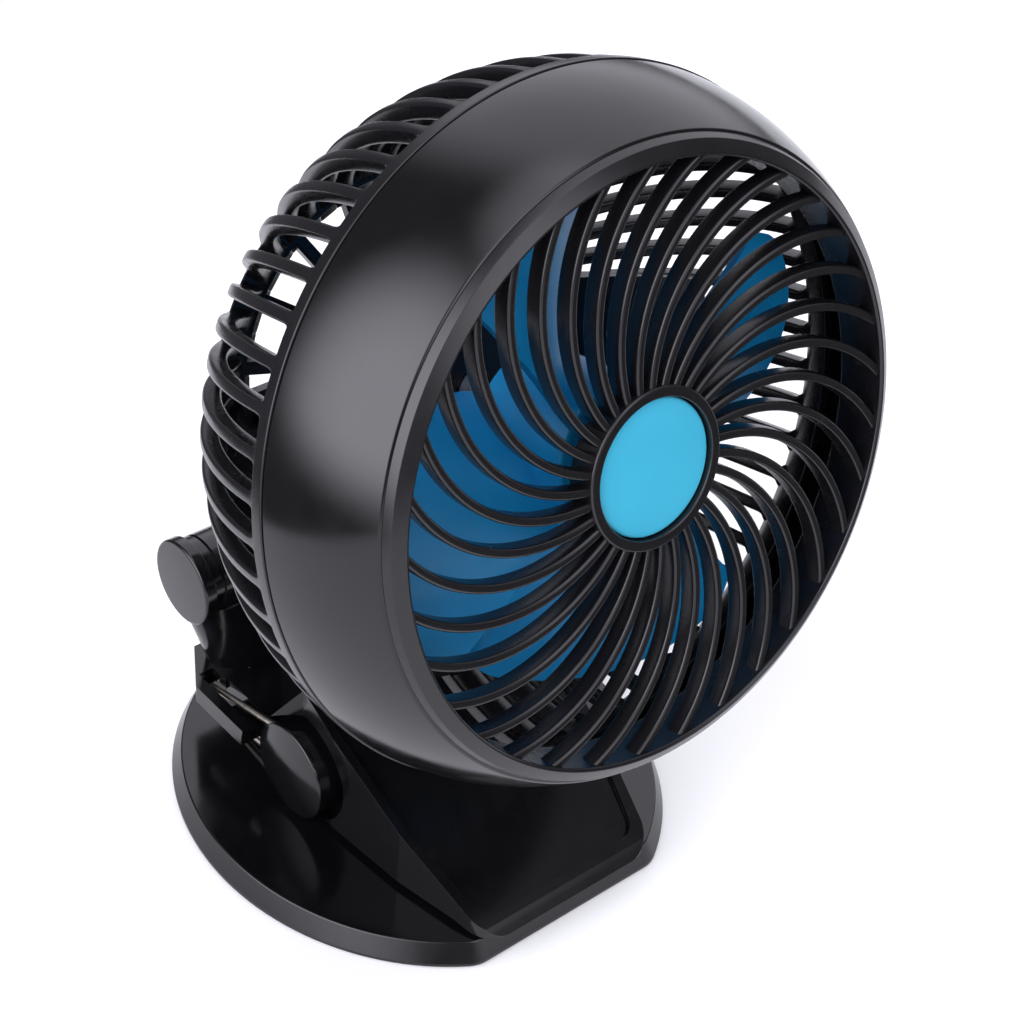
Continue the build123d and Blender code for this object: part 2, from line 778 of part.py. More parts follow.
with BuildPart() as centre_disc:
    with BuildSketch(head_face):
        Circle(disc_radius)
    extrude(amount=-disc_thickness)
    chamfer(centre_disc.edges().sort_by(head_axis)[-1], 0.5)
save(centre_disc, "centre_disc")

# Impeller: a hub cup and twisted blades, trimmed to a rounded envelope
blade_middle = (blade_front + blade_rear) / 2
blade_sections = ((impeller_hub_radius - 4.0, 8.0, 46.0), (36.0, 17.0, 35.0), (blade_tip_radius + 2.0, 28.0, 23.0))


def blade_profile(half_width, pitch):
    """A thin curved section; its chord leans by the pitch from the turning plane."""
    lean = radians(pitch)
    half_depth = half_width * sin(lean) / cos(lean)
    bow = half_width * 0.22
    shift = blade_thickness / 2
    with BuildLine(Plane.XY) as outline:
        upper = ThreePointArc(
            (-half_width, -blade_middle - half_depth + shift),
            (0, -blade_middle + bow + shift),
            (half_width, -blade_middle + half_depth + shift),
        )
        lower = ThreePointArc(
            (-half_width, -blade_middle - half_depth - shift),
            (0, -blade_middle + bow - shift),
            (half_width, -blade_middle + half_depth - shift),
        )
        Line(upper @ 0, lower @ 0)
        Line(upper @ 1, lower @ 1)
    return outline.line


with BuildPart() as impeller:
    for turn in range(blade_count):
        angle = blade_phase + turn * 360 / blade_count
        outward = head_face.x_dir * cos(radians(angle)) + head_up * sin(radians(angle))
        across = head_up * cos(radians(angle)) - head_face.x_dir * sin(radians(angle))
        for radius, half_width, pitch in blade_sections:
            with BuildSketch(Plane(origin=disc_centre + outward * radius, x_dir=across, z_dir=outward)):
                with BuildLine():
                    add(blade_profile(half_width, pitch))
                make_face()
        loft()
    with BuildSketch(head_section) as envelope:
        with Locations((blade_tip_radius / 2, -(impeller_hub_front + impeller_hub_rear + 1.0) / 2)):
            Rectangle(blade_tip_radius, impeller_hub_rear - impeller_hub_front + 1.0)
        fillet(envelope.vertices().group_by(Axis.X)[-1], blade_corner_radius)
    revolve(axis=head_axis, mode=Mode.INTERSECT)
    with BuildSketch(behind(impeller_hub_front)):
        Circle(impeller_hub_radius)
    extrude(amount=-(impeller_hub_rear - impeller_hub_front))
    with BuildSketch(behind(impeller_hub_front + impeller_hub_wall)):
        Circle(impeller_hub_radius - impeller_hub_wall)
    extrude(amount=-impeller_hub_rear, mode=Mode.SUBTRACT)
    with BuildSketch(behind(impeller_hub_front + impeller_hub_wall / 2)):
        Circle(motor_boss_radius)
    extrude(amount=-(impeller_hub_rear - impeller_hub_front) + impeller_hub_wall)
    with BuildSketch(behind(impeller_hub_front + impeller_hub_wall)):
        Circle(shaft_radius)
    extrude(amount=-impeller_hub_rear, mode=Mode.SUBTRACT)
save(impeller, "impeller")

# Motor in the rear grille's cup, and its shaft
cup_floor = 2.5
motor_rear = rear_back - cup_floor
motor_front = motor_rear - motor_length
with BuildPart() as motor_shaft:
    with BuildSketch(behind(impeller_hub_front + impeller_hub_wall)):
        Circle(shaft_radius)
    shaft_end = motor_front + shaft_seat
    extrude(amount=-(shaft_end - impeller_hub_front - impeller_hub_wall))
save(motor_shaft, "motor_shaft")

with BuildPart() as motor:
    with BuildSketch(behind(motor_front)):
        Circle(motor_radius)
    extrude(amount=-motor_length)
    chamfer(motor.edges().sort_by(head_axis)[-1], 1.0)
    with BuildSketch(behind(motor_front)):
        Circle(motor_boss_radius)
    extrude(amount=motor_boss_length)
    with BuildSketch(behind(motor_front - motor_boss_length)):
        Circle(shaft_radius + running_gap)
    extrude(amount=-(shaft_seat + motor_boss_length + 1.0), mode=Mode.SUBTRACT)
    with BuildSketch(behind(motor_rear)):
        with Locations((-motor_screw_offset, 0), (motor_screw_offset, 0)):
            Circle(motor_screw_radius)
    extrude(amount=5.0, mode=Mode.SUBTRACT)
save(motor, "motor")

with BuildPart() as motor_screws:
    with BuildSketch(behind(rear_back - 1.2)):
        with Locations((-motor_screw_offset, 0), (motor_screw_offset, 0)):
            Circle(motor_screw_radius)
    extrude(amount=cup_floor - 1.2 + 4.0)
    with BuildSketch(behind(rear_back)):
        with Locations((-motor_screw_offset, 0), (motor_screw_offset, 0)):
            Circle(2 * motor_screw_radius)
    extrude(amount=1.2)
save(motor_screws, "motor_screws")

# Rear grille: band, meridian ribs cut from a bowl, flat back with spokes and the motor's cup
band_radius = shell_rear_radius + 0.3
with BuildPart() as rear_ribs:
    with BuildSketch(behind(shell_rear)):
        with PolarLocations(band_radius * 0.75, rear_rib_count):
            Rectangle(band_radius * 0.5 + 2 * rear_wall, rear_rib_width)
    extrude(amount=-(rear_back - shell_rear))
    with BuildSketch(head_section):
        with Locations((0, -shell_rear)):
            Ellipse(band_radius - ring_proud, rear_half_length - ring_proud)
            Ellipse(band_radius - rear_rib_depth, rear_half_length - rear_rib_depth, mode=Mode.SUBTRACT)
        with Locations((band_radius / 2, -(shell_rear + rear_back) / 2)):
            Rectangle(band_radius, rear_back - shell_rear - 2 * ring_proud, mode=Mode.INTERSECT)
    revolve(axis=head_axis, mode=Mode.INTERSECT)


def bowl_radius(distance, inset=0.0):
    reach = (distance - shell_rear) / (rear_half_length - inset)
    return (band_radius - inset) * sqrt(1 - reach**2)


back_inner = rear_back - rear_wall
back_ring_inner = bowl_radius(rear_back) - rear_ring_width
cup_radius = motor_radius + seat_gap
lip_outer = shell_wall + seat_gap
lip_inner = lip_outer + 2.4
with BuildPart() as lip_ring:
    with BuildSketch(head_section):
        with BuildLine():
            add(shell_band(lip_outer, lip_inner))
        make_face()
        with Locations((shell_rear_radius, -shell_rear)):
            Rectangle(2 * shell_rear_radius, 2 * rear_lip, mode=Mode.INTERSECT)
    revolve(axis=head_axis)

with BuildPart() as rear_grille:
    add(rear_ribs.part)
    add(lip_ring.part)
    with BuildSketch(head_section):
        with BuildLine():
            Polyline(
                (band_radius, -shell_rear),
                (bowl_radius(shell_rear + rear_band), -shell_rear - rear_band),
                (bowl_radius(shell_rear + rear_band, rear_wall), -shell_rear - rear_band),
                (shell_rear_radius - lip_inner, -shell_rear),
                close=True,
            )
        make_face()
        with BuildLine():
            Polyline(
                (back_ring_inner, -rear_back),
                (bowl_radius(rear_back), -rear_back),
                (bowl_radius(back_inner), -back_inner),
                (back_ring_inner, -back_inner),
                close=True,
            )
        make_face()
        with BuildLine():
            Polyline(
                (0, -rear_back),
                (cup_radius + motor_cup_wall, -rear_back),
                (cup_radius + motor_cup_wall, -motor_front),
                (cup_radius, -motor_front),
                (cup_radius, -motor_rear),
                (0, -motor_rear),
                close=True,
            )
        make_face()
    revolve(axis=head_axis)
    with BuildSketch(behind(back_inner)):
        spoke_inner = cup_radius + motor_cup_wall - 0.8
        spoke_outer = back_ring_inner + 1.0
        with PolarLocations((spoke_inner + spoke_outer) / 2, rear_spoke_count, start_angle=360 / rear_rib_count):
            Rectangle(spoke_outer - spoke_inner, rear_spoke_width)
    extrude(amount=-rear_wall)
    with BuildSketch(behind(rear_back)):
        with Locations((-motor_screw_offset, 0), (motor_screw_offset, 0)):
            Circle(motor_screw_radius + seat_gap)
    extrude(amount=cup_floor, mode=Mode.SUBTRACT)
    with BuildSketch(behind(rear_back)):
        with Locations((-motor_screw_offset, 0), (motor_screw_offset, 0)):
            Circle(2 * motor_screw_radius + seat_gap)
    extrude(amount=1.2, mode=Mode.SUBTRACT)
save(rear_grille, "rear_grille")

# Battery and control box behind the rear grille, with the tilt barrel along its lower edge
box_middle = (box_low + box_high) / 2
cover_high = slope_high - box_wall
cover_middle = (cover_low + cover_high) / 2
post_x = box_half_width - box_wall - 4.0
post_radius = 3.4
cover_screw_spots = [
    (side * post_x, level) for side in (-1, 1) for level in (cover_low + cover_edge, cover_high - cover_edge)
]
socket_middle = board_behind + board_thickness + socket_height / 2


def box_form(inset, rear):
    """The box's outside, or its hollow when set inwards: a rounded block with a sloped top."""
    with BuildPart() as form:
        with BuildSketch(behind(rear_back + inset)):
            with Locations((0, box_middle)):
                RectangleRounded(
                    2 * (box_half_width - inset),
                    box_high - box_low - 2 * inset,
                    box_corner_radius - inset,
                )
        extrude(amount=-(rear - rear_back - inset))
        slope = Vector(slope_high - box_high, slope_start - box_rear)
        inward = Vector(slope.Y, -slope.X).normalized() * inset
        above = Vector(box_high, -slope_start) + inward - slope
        below = Vector(slope_high, -box_rear) + inward + slope
        with BuildSketch(head_section):
            with BuildLine():
                Polyline(above, below, (above.X, below.Y), close=True)
            make_face()
        extrude(amount=box_half_width, both=True, mode=Mode.SUBTRACT)
    return form.part


with BuildPart() as rear_box:
    add(box_form(0, box_rear))
    add(box_form(box_wall, box_rear - cover_thickness), mode=Mode.SUBTRACT)
    with BuildSketch(behind(box_rear)):
        with Locations((0, cover_middle)):
            RectangleRounded(2 * (box_half_width - box_wall), cover_high - cover_low, box_corner_radius - box_wall)
    extrude(amount=cover_thickness, mode=Mode.SUBTRACT)
    with BuildSketch(behind(post_front)):
        with Locations(*cover_screw_spots):
            Circle(post_radius)
        for side in (-1, 1):
            with Locations(*[(side * (post_x + post_radius), level) for x, level in cover_screw_spots[:2]]):
                Rectangle(2 * post_radius - 2 * seat_gap, post_radius)
    extrude(amount=-(box_rear - cover_thickness - post_front))
    with BuildSketch(side_plane):
        with Locations((tilt_y, tilt_z)):
            Circle(barrel_radius)
    extrude(amount=barrel_half_length, both=True)
    for side in (-1, 1):
        # gap for the neck's ear
        with BuildSketch(side_plane.offset(side * (tilt_ear_inner - side_gap))):
            with Locations((tilt_y, tilt_z)):
                Circle(barrel_radius + 2 * side_gap)
        extrude(amount=side * (tilt_ear_outer - tilt_ear_inner + 2 * side_gap), mode=Mode.SUBTRACT)
        # grooves that leave a ring near the barrel's end
        with BuildSketch(side_plane.offset(side * (barrel_half_length - ring_width - ring_groove))):
            with Locations((tilt_y, tilt_z)):
                Circle(barrel_radius + 1.0)
                Circle(barrel_radius - ring_groove, mode=Mode.SUBTRACT)
        extrude(amount=side * ring_groove, mode=Mode.SUBTRACT)
        with BuildSketch(side_plane.offset(side * barrel_half_length)):
            with Locations((tilt_y, tilt_z)):
                Circle(tilt_cap_plug_radius + running_gap)
        extrude(amount=-side * (barrel_half_length - tilt_pin_half_length - seat_gap), mode=Mode.SUBTRACT)
    with BuildSketch(side_plane):
        with Locations((tilt_y, tilt_z)):
            Circle(tilt_pin_radius + running_gap)
    extrude(amount=tilt_pin_half_length + seat_gap, both=True, mode=Mode.SUBTRACT)
    with BuildSketch(behind(box_rear - cover_thickness)):
        with Locations(*cover_screw_spots):
            Circle(cover_screw_radius)
    extrude(amount=9.0, mode=Mode.SUBTRACT)
    # opening for the charging socket in the right-hand wall
    socket_plane = Plane(origin=disc_centre, x_dir=head_up, z_dir=(1, 0, 0)).offset(box_half_width)
    with BuildSketch(socket_plane):
        with Locations((socket_level, -socket_middle)):
            RectangleRounded(socket_width + 2 * seat_gap, socket_height + 2 * seat_gap, 1.5)
    extrude(amount=-box_wall, mode=Mode.SUBTRACT)
save(rear_box, "rear_box")

with BuildPart() as box_cover:
    with BuildSketch(behind(box_rear - cover_thickness)):
        with Locations((0, cover_middle)):
            RectangleRounded(
                2 * (box_half_width - box_wall - seat_gap),
                cover_high - cover_low - 2 * seat_gap,
                box_corner_radius - box_wall - seat_gap,
            )
        with Locations((0, button_level)):
            Circle(button_radius + seat_gap, mode=Mode.SUBTRACT)
        with Locations((0, lens_level)):
            Circle(lens_radius, mode=Mode.SUBTRACT)
        with Locations(*cover_screw_spots):
            Circle(cover_screw_radius + seat_gap, mode=Mode.SUBTRACT)
    extrude(amount=-cover_thickness)
    with BuildSketch(behind(box_rear)):
        with Locations(*cover_screw_spots):
            Circle(2 * cover_screw_radius + seat_gap)
    extrude(amount=cover_screw_sink + cover_screw_head, mode=Mode.SUBTRACT)
save(box_cover, "box_cover")

with BuildPart() as cover_screws:
    with BuildSketch(behind(box_rear - cover_screw_sink)):
        with Locations(*cover_screw_spots):
            Circle(2 * cover_screw_radius)
    extrude(amount=cover_screw_head)
    with BuildSketch(behind(box_rear - cover_screw_sink - cover_screw_head)):
        with Locations(*cover_screw_spots):
            Circle(cover_screw_radius)
    extrude(amount=cover_screw_length)
save(cover_screws, "cover_screws")

cell_behind = rear_back + box_wall + seat_gap + cell_radius
lower_cell_level = box_low + box_wall + cell_floor_gap + cell_radius
with BuildPart() as battery_cells:
    with BuildSketch(Plane(origin=disc_centre - Vector(cell_length / 2, 0, 0), x_dir=head_up, z_dir=(1, 0, 0))):
        with Locations((lower_cell_level, -cell_behind), (lower_cell_level + cell_spacing, -cell_behind)):
            Circle(cell_radius)
    extrude(amount=cell_length)
save(battery_cells, "battery_cells")

board_right = box_half_width - box_wall - seat_gap
switch_width = 6.0
lamp_width = 3.0
lamp_height = 2.0
lamp_depth = 1.4
with BuildPart() as circuit_board:
    with BuildSketch(behind(board_behind)):
        with Locations((0, (board_low + board_high) / 2)):
            Rectangle(2 * board_half_width, board_high - board_low)
        with Locations((board_right / 2, socket_level)):
            Rectangle(board_right, board_tab_width)
    extrude(amount=-board_thickness)
    with BuildSketch(behind(board_behind + board_thickness)):
        with Locations((0, button_level)):
            Rectangle(switch_width, switch_width)
        with Locations((0, lens_level)):
            Rectangle(lamp_width, lamp_height)
    extrude(amount=-lamp_depth)
save(circuit_board, "circuit_board")

with BuildPart() as usb_socket:
    with BuildSketch(socket_plane):
        with Locations((socket_level, -socket_middle)):
            RectangleRounded(socket_width, socket_height, 1.2)
    extrude(amount=-socket_depth)
    with BuildSketch(socket_plane):
        with Locations((socket_level, -socket_middle)):
            RectangleRounded(socket_width - 0.8, socket_height - 0.8, 0.8)
            RectangleRounded(socket_width - 3.0, 0.7, 0.3, mode=Mode.SUBTRACT)
    extrude(amount=-socket_depth + 1.0, mode=Mode.SUBTRACT)
save(usb_socket, "usb_socket")

with BuildPart() as indicator_lens:
    with BuildSketch(behind(board_behind + board_thickness + 1.4 + seat_gap)):
        with Locations((0, lens_level)):
            Circle(lens_radius)
    extrude(amount=-(box_rear + 0.4 - board_behind - board_thickness - 1.4 - seat_gap))
save(indicator_lens, "indicator_lens")

with BuildPart() as power_button:
    with BuildSketch(behind(box_rear + button_travel)):
        with Locations((0, button_level)):
            Circle(button_radius)
    button_foot = board_behind + board_thickness + 1.4 + button_travel + seat_gap
    extrude(amount=box_rear + button_travel - button_foot)
    chamfer(power_button.edges().sort_by(head_axis)[0], 0.5)
    with BuildSketch(behind(button_foot)):
        with Locations((0, button_level)):
            Circle(button_radius + 1.2)
    extrude(amount=-(box_rear - cover_thickness - seat_gap - button_foot))
save(power_button, "power_button")


# End caps of the tilt barrel
def make_tilt_cap(side, label):
    with BuildPart() as tilt_cap:
        with BuildSketch(side_plane.offset(side * barrel_half_length)):
            with Locations((tilt_y, tilt_z)):
                Circle(barrel_radius + 0.3)
        extrude(amount=side * tilt_cap_thickness)
        chamfer(tilt_cap.edges().sort_by(Axis.X)[-1 if side > 0 else 0], 0.6)
        with BuildSketch(side_plane.offset(side * barrel_half_length)):
            with Locations((tilt_y, tilt_z)):
                Circle(tilt_cap_plug_radius)
        extrude(amount=-side * tilt_cap_plug_length)
    save(tilt_cap, label)


make_tilt_cap(-1, "tilt_cap_left")
make_tilt_cap(1, "tilt_cap_right")
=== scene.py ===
import json
from math import acos, asin, atan2, cos, pi, radians, sin, sqrt

import bmesh
import bpy
from mathutils import Matrix, Vector


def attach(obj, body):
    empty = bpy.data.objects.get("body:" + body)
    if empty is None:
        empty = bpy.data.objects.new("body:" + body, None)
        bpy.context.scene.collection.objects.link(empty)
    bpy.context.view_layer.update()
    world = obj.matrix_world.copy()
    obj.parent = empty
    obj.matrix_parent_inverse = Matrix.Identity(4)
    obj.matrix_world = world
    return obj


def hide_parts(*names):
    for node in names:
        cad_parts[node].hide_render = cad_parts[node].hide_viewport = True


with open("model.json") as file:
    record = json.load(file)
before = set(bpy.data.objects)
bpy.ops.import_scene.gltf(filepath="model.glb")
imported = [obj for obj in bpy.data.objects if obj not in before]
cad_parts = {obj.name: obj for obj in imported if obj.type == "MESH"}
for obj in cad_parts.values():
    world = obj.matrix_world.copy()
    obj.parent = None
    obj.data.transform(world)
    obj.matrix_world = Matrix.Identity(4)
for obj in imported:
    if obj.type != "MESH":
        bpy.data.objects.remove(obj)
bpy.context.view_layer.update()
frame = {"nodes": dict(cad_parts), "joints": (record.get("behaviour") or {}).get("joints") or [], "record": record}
nodes = frame["nodes"]
joints = {joint["name"]: joint for joint in frame["joints"]}
mm = 0.001

# The head's own frame: x to the right, y up the grille, z out through the centre disc.
headForward = Vector(joints["impeller_spin"]["axis"]).normalized()
headUp = headForward.cross(Vector((1, 0, 0)))
spinBehindDisc = 26 * mm
discCentre = Vector(joints["impeller_spin"]["pos_m"]) + headForward * spinBehindDisc
hingeCentre = Vector(joints["clip_hinge"]["pos_m"])
tiltCentre = Vector(joints["head_tilt"]["pos_m"])


def placeOf(centre, xAxis, yAxis, zAxis):
    return Matrix.Translation(centre) @ Matrix((xAxis, yAxis, zAxis)).transposed().to_4x4()


headPlace = placeOf(discCentre, Vector((1, 0, 0)), headUp, headForward)


def sidePlace(centre, side):
    # z points out of the object's left (-1) or right (1) side
    onMiddle = Vector((0, centre.y, centre.z))
    return placeOf(onMiddle, Vector((0, side, 0)), Vector((0, 0, 1)), Vector((side, 0, 0)))


def linearColour(hexText):
    channels = [int(hexText[i:i + 2], 16) / 255 for i in (1, 3, 5)]
    return (*(c / 12.92 if c <= 0.04045 else ((c + 0.055) / 1.055) ** 2.4 for c in channels), 1)


def addNode(tree, kind, links=None, **settings):
    node = tree.nodes.new(kind)
    for setting, value in settings.items():
        setattr(node, setting, value)
    for socket, source in (links or {}).items():
        if isinstance(source, bpy.types.NodeSocket):
            tree.links.new(source, node.inputs[socket])
        else:
            node.inputs[socket].default_value = source
    return node


def startMaterial(name):
    material = bpy.data.materials.new(name)
    material.use_nodes = True
    tree = material.node_tree
    tree.nodes.clear()
    shader = addNode(tree, "ShaderNodeBsdfPrincipled")
    addNode(tree, "ShaderNodeOutputMaterial", {"Surface": shader.outputs["BSDF"]})
    place = addNode(tree, "ShaderNodeTexCoord").outputs["Object"]
    return material, tree, shader, place


def mouldedPlastic(name, colour, darker, gloss):
    # Injection-moulded plastic: a gloss with a slow waviness from the mould's polish, and
    # handling marks that only show as slightly duller patches. Wave and grain are in mm.
    material, tree, shader, place = startMaterial(name)
    wave = addNode(tree, "ShaderNodeTexNoise", {
        "Vector": place, "Scale": 1 / (gloss["wave"] * mm), "Detail": 1.0,
    })
    grain = addNode(tree, "ShaderNodeTexNoise", {
        "Vector": place, "Scale": 1 / (gloss["grain"] * mm), "Detail": 3.0,
    })
    shade = addNode(tree, "ShaderNodeMapRange", {
        "Value": wave.outputs["Fac"], "From Min": 0.3, "From Max": 0.7,
    })
    mix = addNode(tree, "ShaderNodeMix", {
        "Factor": shade.outputs["Result"],
        6: linearColour(darker),
        7: linearColour(colour),
    }, data_type="RGBA")
    dull = addNode(tree, "ShaderNodeMapRange", {
        "Value": grain.outputs["Fac"],
        "From Min": 0.35,
        "From Max": 0.75,
        "To Min": gloss["roughness"],
        "To Max": gloss["roughness"] + gloss["marks"],
    })
    ripple = addNode(tree, "ShaderNodeBump", {
        "Height": wave.outputs["Fac"],
        "Strength": gloss["ripple"],
        "Distance": 0.1 * mm,
    })
    tree.links.new(mix.outputs[2], shader.inputs["Base Color"])
    tree.links.new(dull.outputs["Result"], shader.inputs["Roughness"])
    tree.links.new(ripple.outputs["Normal"], shader.inputs["Normal"])
    shader.inputs["IOR"].default_value = 1.54
    shader.inputs["Specular IOR Level"].default_value = 0.5
    return material


def platedSteel(name, colour, darker, roughness, streakSize):
    # Drawn or pressed steel with a bright plating: a grey metal with faint streaks.
    material, tree, shader, place = startMaterial(name)
    streak = addNode(tree, "ShaderNodeTexNoise", {
        "Vector": place, "Scale": 1 / (streakSize * mm), "Detail": 4.0,
    })
    tone = addNode(tree, "ShaderNodeMix", {
        "Factor": streak.outputs["Fac"],
        6: linearColour(darker),
        7: linearColour(colour),
    }, data_type="RGBA")
    rough = addNode(tree, "ShaderNodeMapRange", {
        "Value": streak.outputs["Fac"], "To Min": roughness, "To Max": roughness + 0.15,
    })
    tree.links.new(tone.outputs[2], shader.inputs["Base Color"])
    tree.links.new(rough.outputs["Result"], shader.inputs["Roughness"])
    shader.inputs["Metallic"].default_value = 1.0
    return material


shellGloss = {"wave": 14, "grain": 5, "roughness": 0.13, "marks": 0.05, "ripple": 0.04}
discGloss = {"wave": 14, "grain": 5, "roughness": 0.22, "marks": 0.05, "ripple": 0.04}
grilleGloss = {"wave": 16, "grain": 6, "roughness": 0.24, "marks": 0.05, "ripple": 0.015}
bladeGloss = {"wave": 12, "grain": 4, "roughness": 0.34, "marks": 0.06, "ripple": 0.04}
rubberGloss = {"wave": 4, "grain": 0.8, "roughness": 0.62, "marks": 0.2, "ripple": 0.2}
# Black ABS from a polished mould: it mirrors the lamps, and is black between them.
blackShellAbs = mouldedPlastic("blackShellAbs", "#0c0c0e", "#09090b", shellGloss)
# Black ABS of the grilles, from a less polished mould: the lamps spread along each rib.
blackGrilleAbs = mouldedPlastic("blackGrilleAbs", "#131214", "#0f0e11", grilleGloss)
# Coloured ABS: the colour shows most, under a soft sheen.
cyanDiscAbs = mouldedPlastic("cyanDiscAbs", "#46bcdc", "#43b8d8", discGloss)
blueBladeAbs = mouldedPlastic("blueBladeAbs", "#1296d4", "#0f8cc8", bladeGloss)
# Moulded rubber: matt, with a fine uneven skin.
mouldedRubber = mouldedPlastic("mouldedRubber", "#1b1b1b", "#141414", rubberGloss)
# Shrink sleeve, lacquered glass epoxy and frosted acrylic: small pieces in the box.
cellSleeve = mouldedPlastic("cellShrinkSleeve", "#2f7f45", "#296f3c", bladeGloss)
boardEpoxy = mouldedPlastic("boardEpoxy", "#1d5c34", "#174f2b", grilleGloss)
frostedLens = mouldedPlastic("frostedLens", "#e6efe6", "#dbe6dc", rubberGloss)
# Nickel-plated spring wire is warm and fairly sharp, zinc-plated steel cooler and duller.
springSteel = platedSteel("nickelSpringSteel", "#d8d2c6", "#b9b2a6", 0.22, 1.5)
zincSteel = platedSteel("zincPlatedSteel", "#c4c5c8", "#a4a5aa", 0.3, 2.0)

slotMaterial = {
    "black_shell": blackShellAbs,
    "black_grille": blackGrilleAbs,
    "cyan_disc": cyanDiscAbs,
    "blue_blade": blueBladeAbs,
    "rubber": mouldedRubber,
    "steel": zincSteel,
    "spring_steel": springSteel,
    "cell_sleeve": cellSleeve,
    "board": boardEpoxy,
    "lens": frostedLens,
}
slotOfNode = {row["node"]: row["material_slot"] for row in frame["record"]["subparts"]}
for nodeName, nodeObject in nodes.items():
    nodeObject.data.materials.clear()
    nodeObject.data.materials.append(slotMaterial[slotOfNode[nodeName]])
print("materials made")


def newPiece(name, mesh, body, slotName, *replaced):
    piece = bpy.data.objects.new(name, mesh)
    bpy.context.scene.collection.objects.link(piece)
    if not mesh.materials:
        mesh.materials.append(slotMaterial[slotName])
    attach(piece, body)
    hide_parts(*replaced)
    return piece


def smoothShading(mesh, sharpAngle=35):
    for polygon in mesh.polygons:
        polygon.use_smooth = True
    mesh.set_sharp_from_angle(angle=radians(sharpAngle))
    return mesh


def finishShape(name, shape, place=Matrix.Identity(4), sharpAngle=35):
    bmesh.ops.transform(shape, matrix=place, verts=shape.verts)
    mesh = bpy.data.meshes.new(name)
    shape.to_mesh(mesh)
    shape.free()
    return smoothShading(mesh, sharpAngle)


def roundedProfile(corners, closed=True, steps=6):
    # corners hold radius, height and rounding
    points = []
    count = len(corners)
    for i, (radius, height, rounding) in enumerate(corners):
        here = Vector((radius, height))
        if rounding <= 0 or (not closed and i in (0, count - 1)):
            points.append(here)
            continue
        back = Vector(corners[i - 1][:2]) - here
        ahead = Vector(corners[(i + 1) % count][:2]) - here
        between = back.angle(ahead)
        reach = rounding / abs(sin(between / 2) / cos(between / 2))
        reach = min(reach, 0.49 * back.length, 0.49 * ahead.length)
        start = here + back.normalized() * reach
        end = here + ahead.normalized() * reach
        for step in range(steps + 1):
            t = step / steps
            points.append(start * (1 - t) ** 2 + here * 2 * t * (1 - t) + end * t ** 2)
    return points


def arcPoints(start, middle, end, count):
    a, b, c = (Vector(p).to_3d() for p in (start, middle, end))
    ab, ac = b - a, c - a
    normal = ab.cross(ac)
    towards = normal.cross(ab) * ac.length_squared + ac.cross(normal) * ab.length_squared
    centre = a + towards / (2 * normal.length_squared)
    u = a - centre
    w = normal.normalized().cross(u)
    sweep = (c - centre).angle(u)
    angles = [sweep * k / count for k in range(count + 1)]
    return [(centre + u * cos(angle) + w * sin(angle)).to_2d() for angle in angles]


def turned(name, profile, place, steps, closed=True):
    # a profile of (radius, height) points turned round z
    shape = bmesh.new()
    rings = []
    for radius, height in profile:
        if abs(radius) < 1e-9:
            rings.append([shape.verts.new((0, 0, height))])
            continue
        angles = [2 * pi * step / steps for step in range(steps)]
        rings.append([shape.verts.new((radius * cos(a), radius * sin(a), height)) for a in angles])
    pairs = list(zip(rings, rings[1:]))
    if closed:
        pairs.append((rings[-1], rings[0]))
    for lower, upper in pairs:
        for step in range(steps):
            after = (step + 1) % steps
            if len(lower) == 1:
                corner = [lower[0], upper[after], upper[step]]
            elif len(upper) == 1:
                corner = [lower[step], lower[after], upper[0]]
            else:
                corner = [lower[step], lower[after], upper[after], upper[step]]
            shape.faces.new(corner)
    bmesh.ops.recalc_face_normals(shape, faces=shape.faces)
    return finishShape(name, shape, place)


def turnedPiece(name, corners, place, steps, body, slotName, replaced, closed=True):
    # corners hold radius, height and rounding in mm
    profile = roundedProfile([[value * mm for value in corner] for corner in corners], closed)
    return newPiece(name, turned(name, profile, place, steps, closed), body, slotName, replaced)


def joinLoops(name, loops, place=Matrix.Identity(4)):
    # closed cross-sections joined one after another, with both ends closed
    shape = bmesh.new()
    rings = [[shape.verts.new(point) for point in loop] for loop in loops]
    for lower, upper in zip(rings, rings[1:]):
        count = len(lower)
        for k in range(count):
            after = (k + 1) % count
            shape.faces.new((lower[k], lower[after], upper[after], upper[k]))
    shape.faces.new(rings[0][::-1])
    shape.faces.new(rings[-1])
    bmesh.ops.recalc_face_normals(shape, faces=shape.faces)
    return finishShape(name, shape, place)


def bar(name, sizes, centre, edge):
    shape = bmesh.new()
    bmesh.ops.create_cube(shape, size=1.0)
    bmesh.ops.scale(shape, vec=[v * mm for v in sizes], verts=shape.verts)
    bmesh.ops.bevel(shape, geom=shape.edges, offset=edge * mm, segments=2, affect="EDGES")
    bmesh.ops.translate(shape, vec=[v * mm for v in centre], verts=shape.verts)
    return finishShape(name, shape)


def edgeBevel(piece, name, width, angle):
    bevel = piece.modifiers.new(name, "BEVEL")
    bevel.width = width * mm
    bevel.segments = 3
    bevel.limit_method = "ANGLE"
    bevel.angle_limit = radians(angle)
    return bevel


def softenedCopy(name, nodeName, body, edge, angle=32):
    # the frame's own shape with its edges rounded as a mould leaves them
    shape = bmesh.new()
    shape.from_mesh(nodes[nodeName].data)
    bmesh.ops.remove_doubles(shape, verts=shape.verts, dist=0.002 * mm)
    bmesh.ops.dissolve_limit(shape, angle_limit=radians(0.6), verts=shape.verts, edges=shape.edges)
    mesh = finishShape(name, shape, sharpAngle=angle)
    mesh.materials.clear()
    piece = newPiece(name, mesh, body, slotOfNode[nodeName], nodeName)
    edgeBevel(piece, "edges", edge, angle)
    piece.modifiers.new("shading", "WEIGHTED_NORMAL").keep_sharp = True


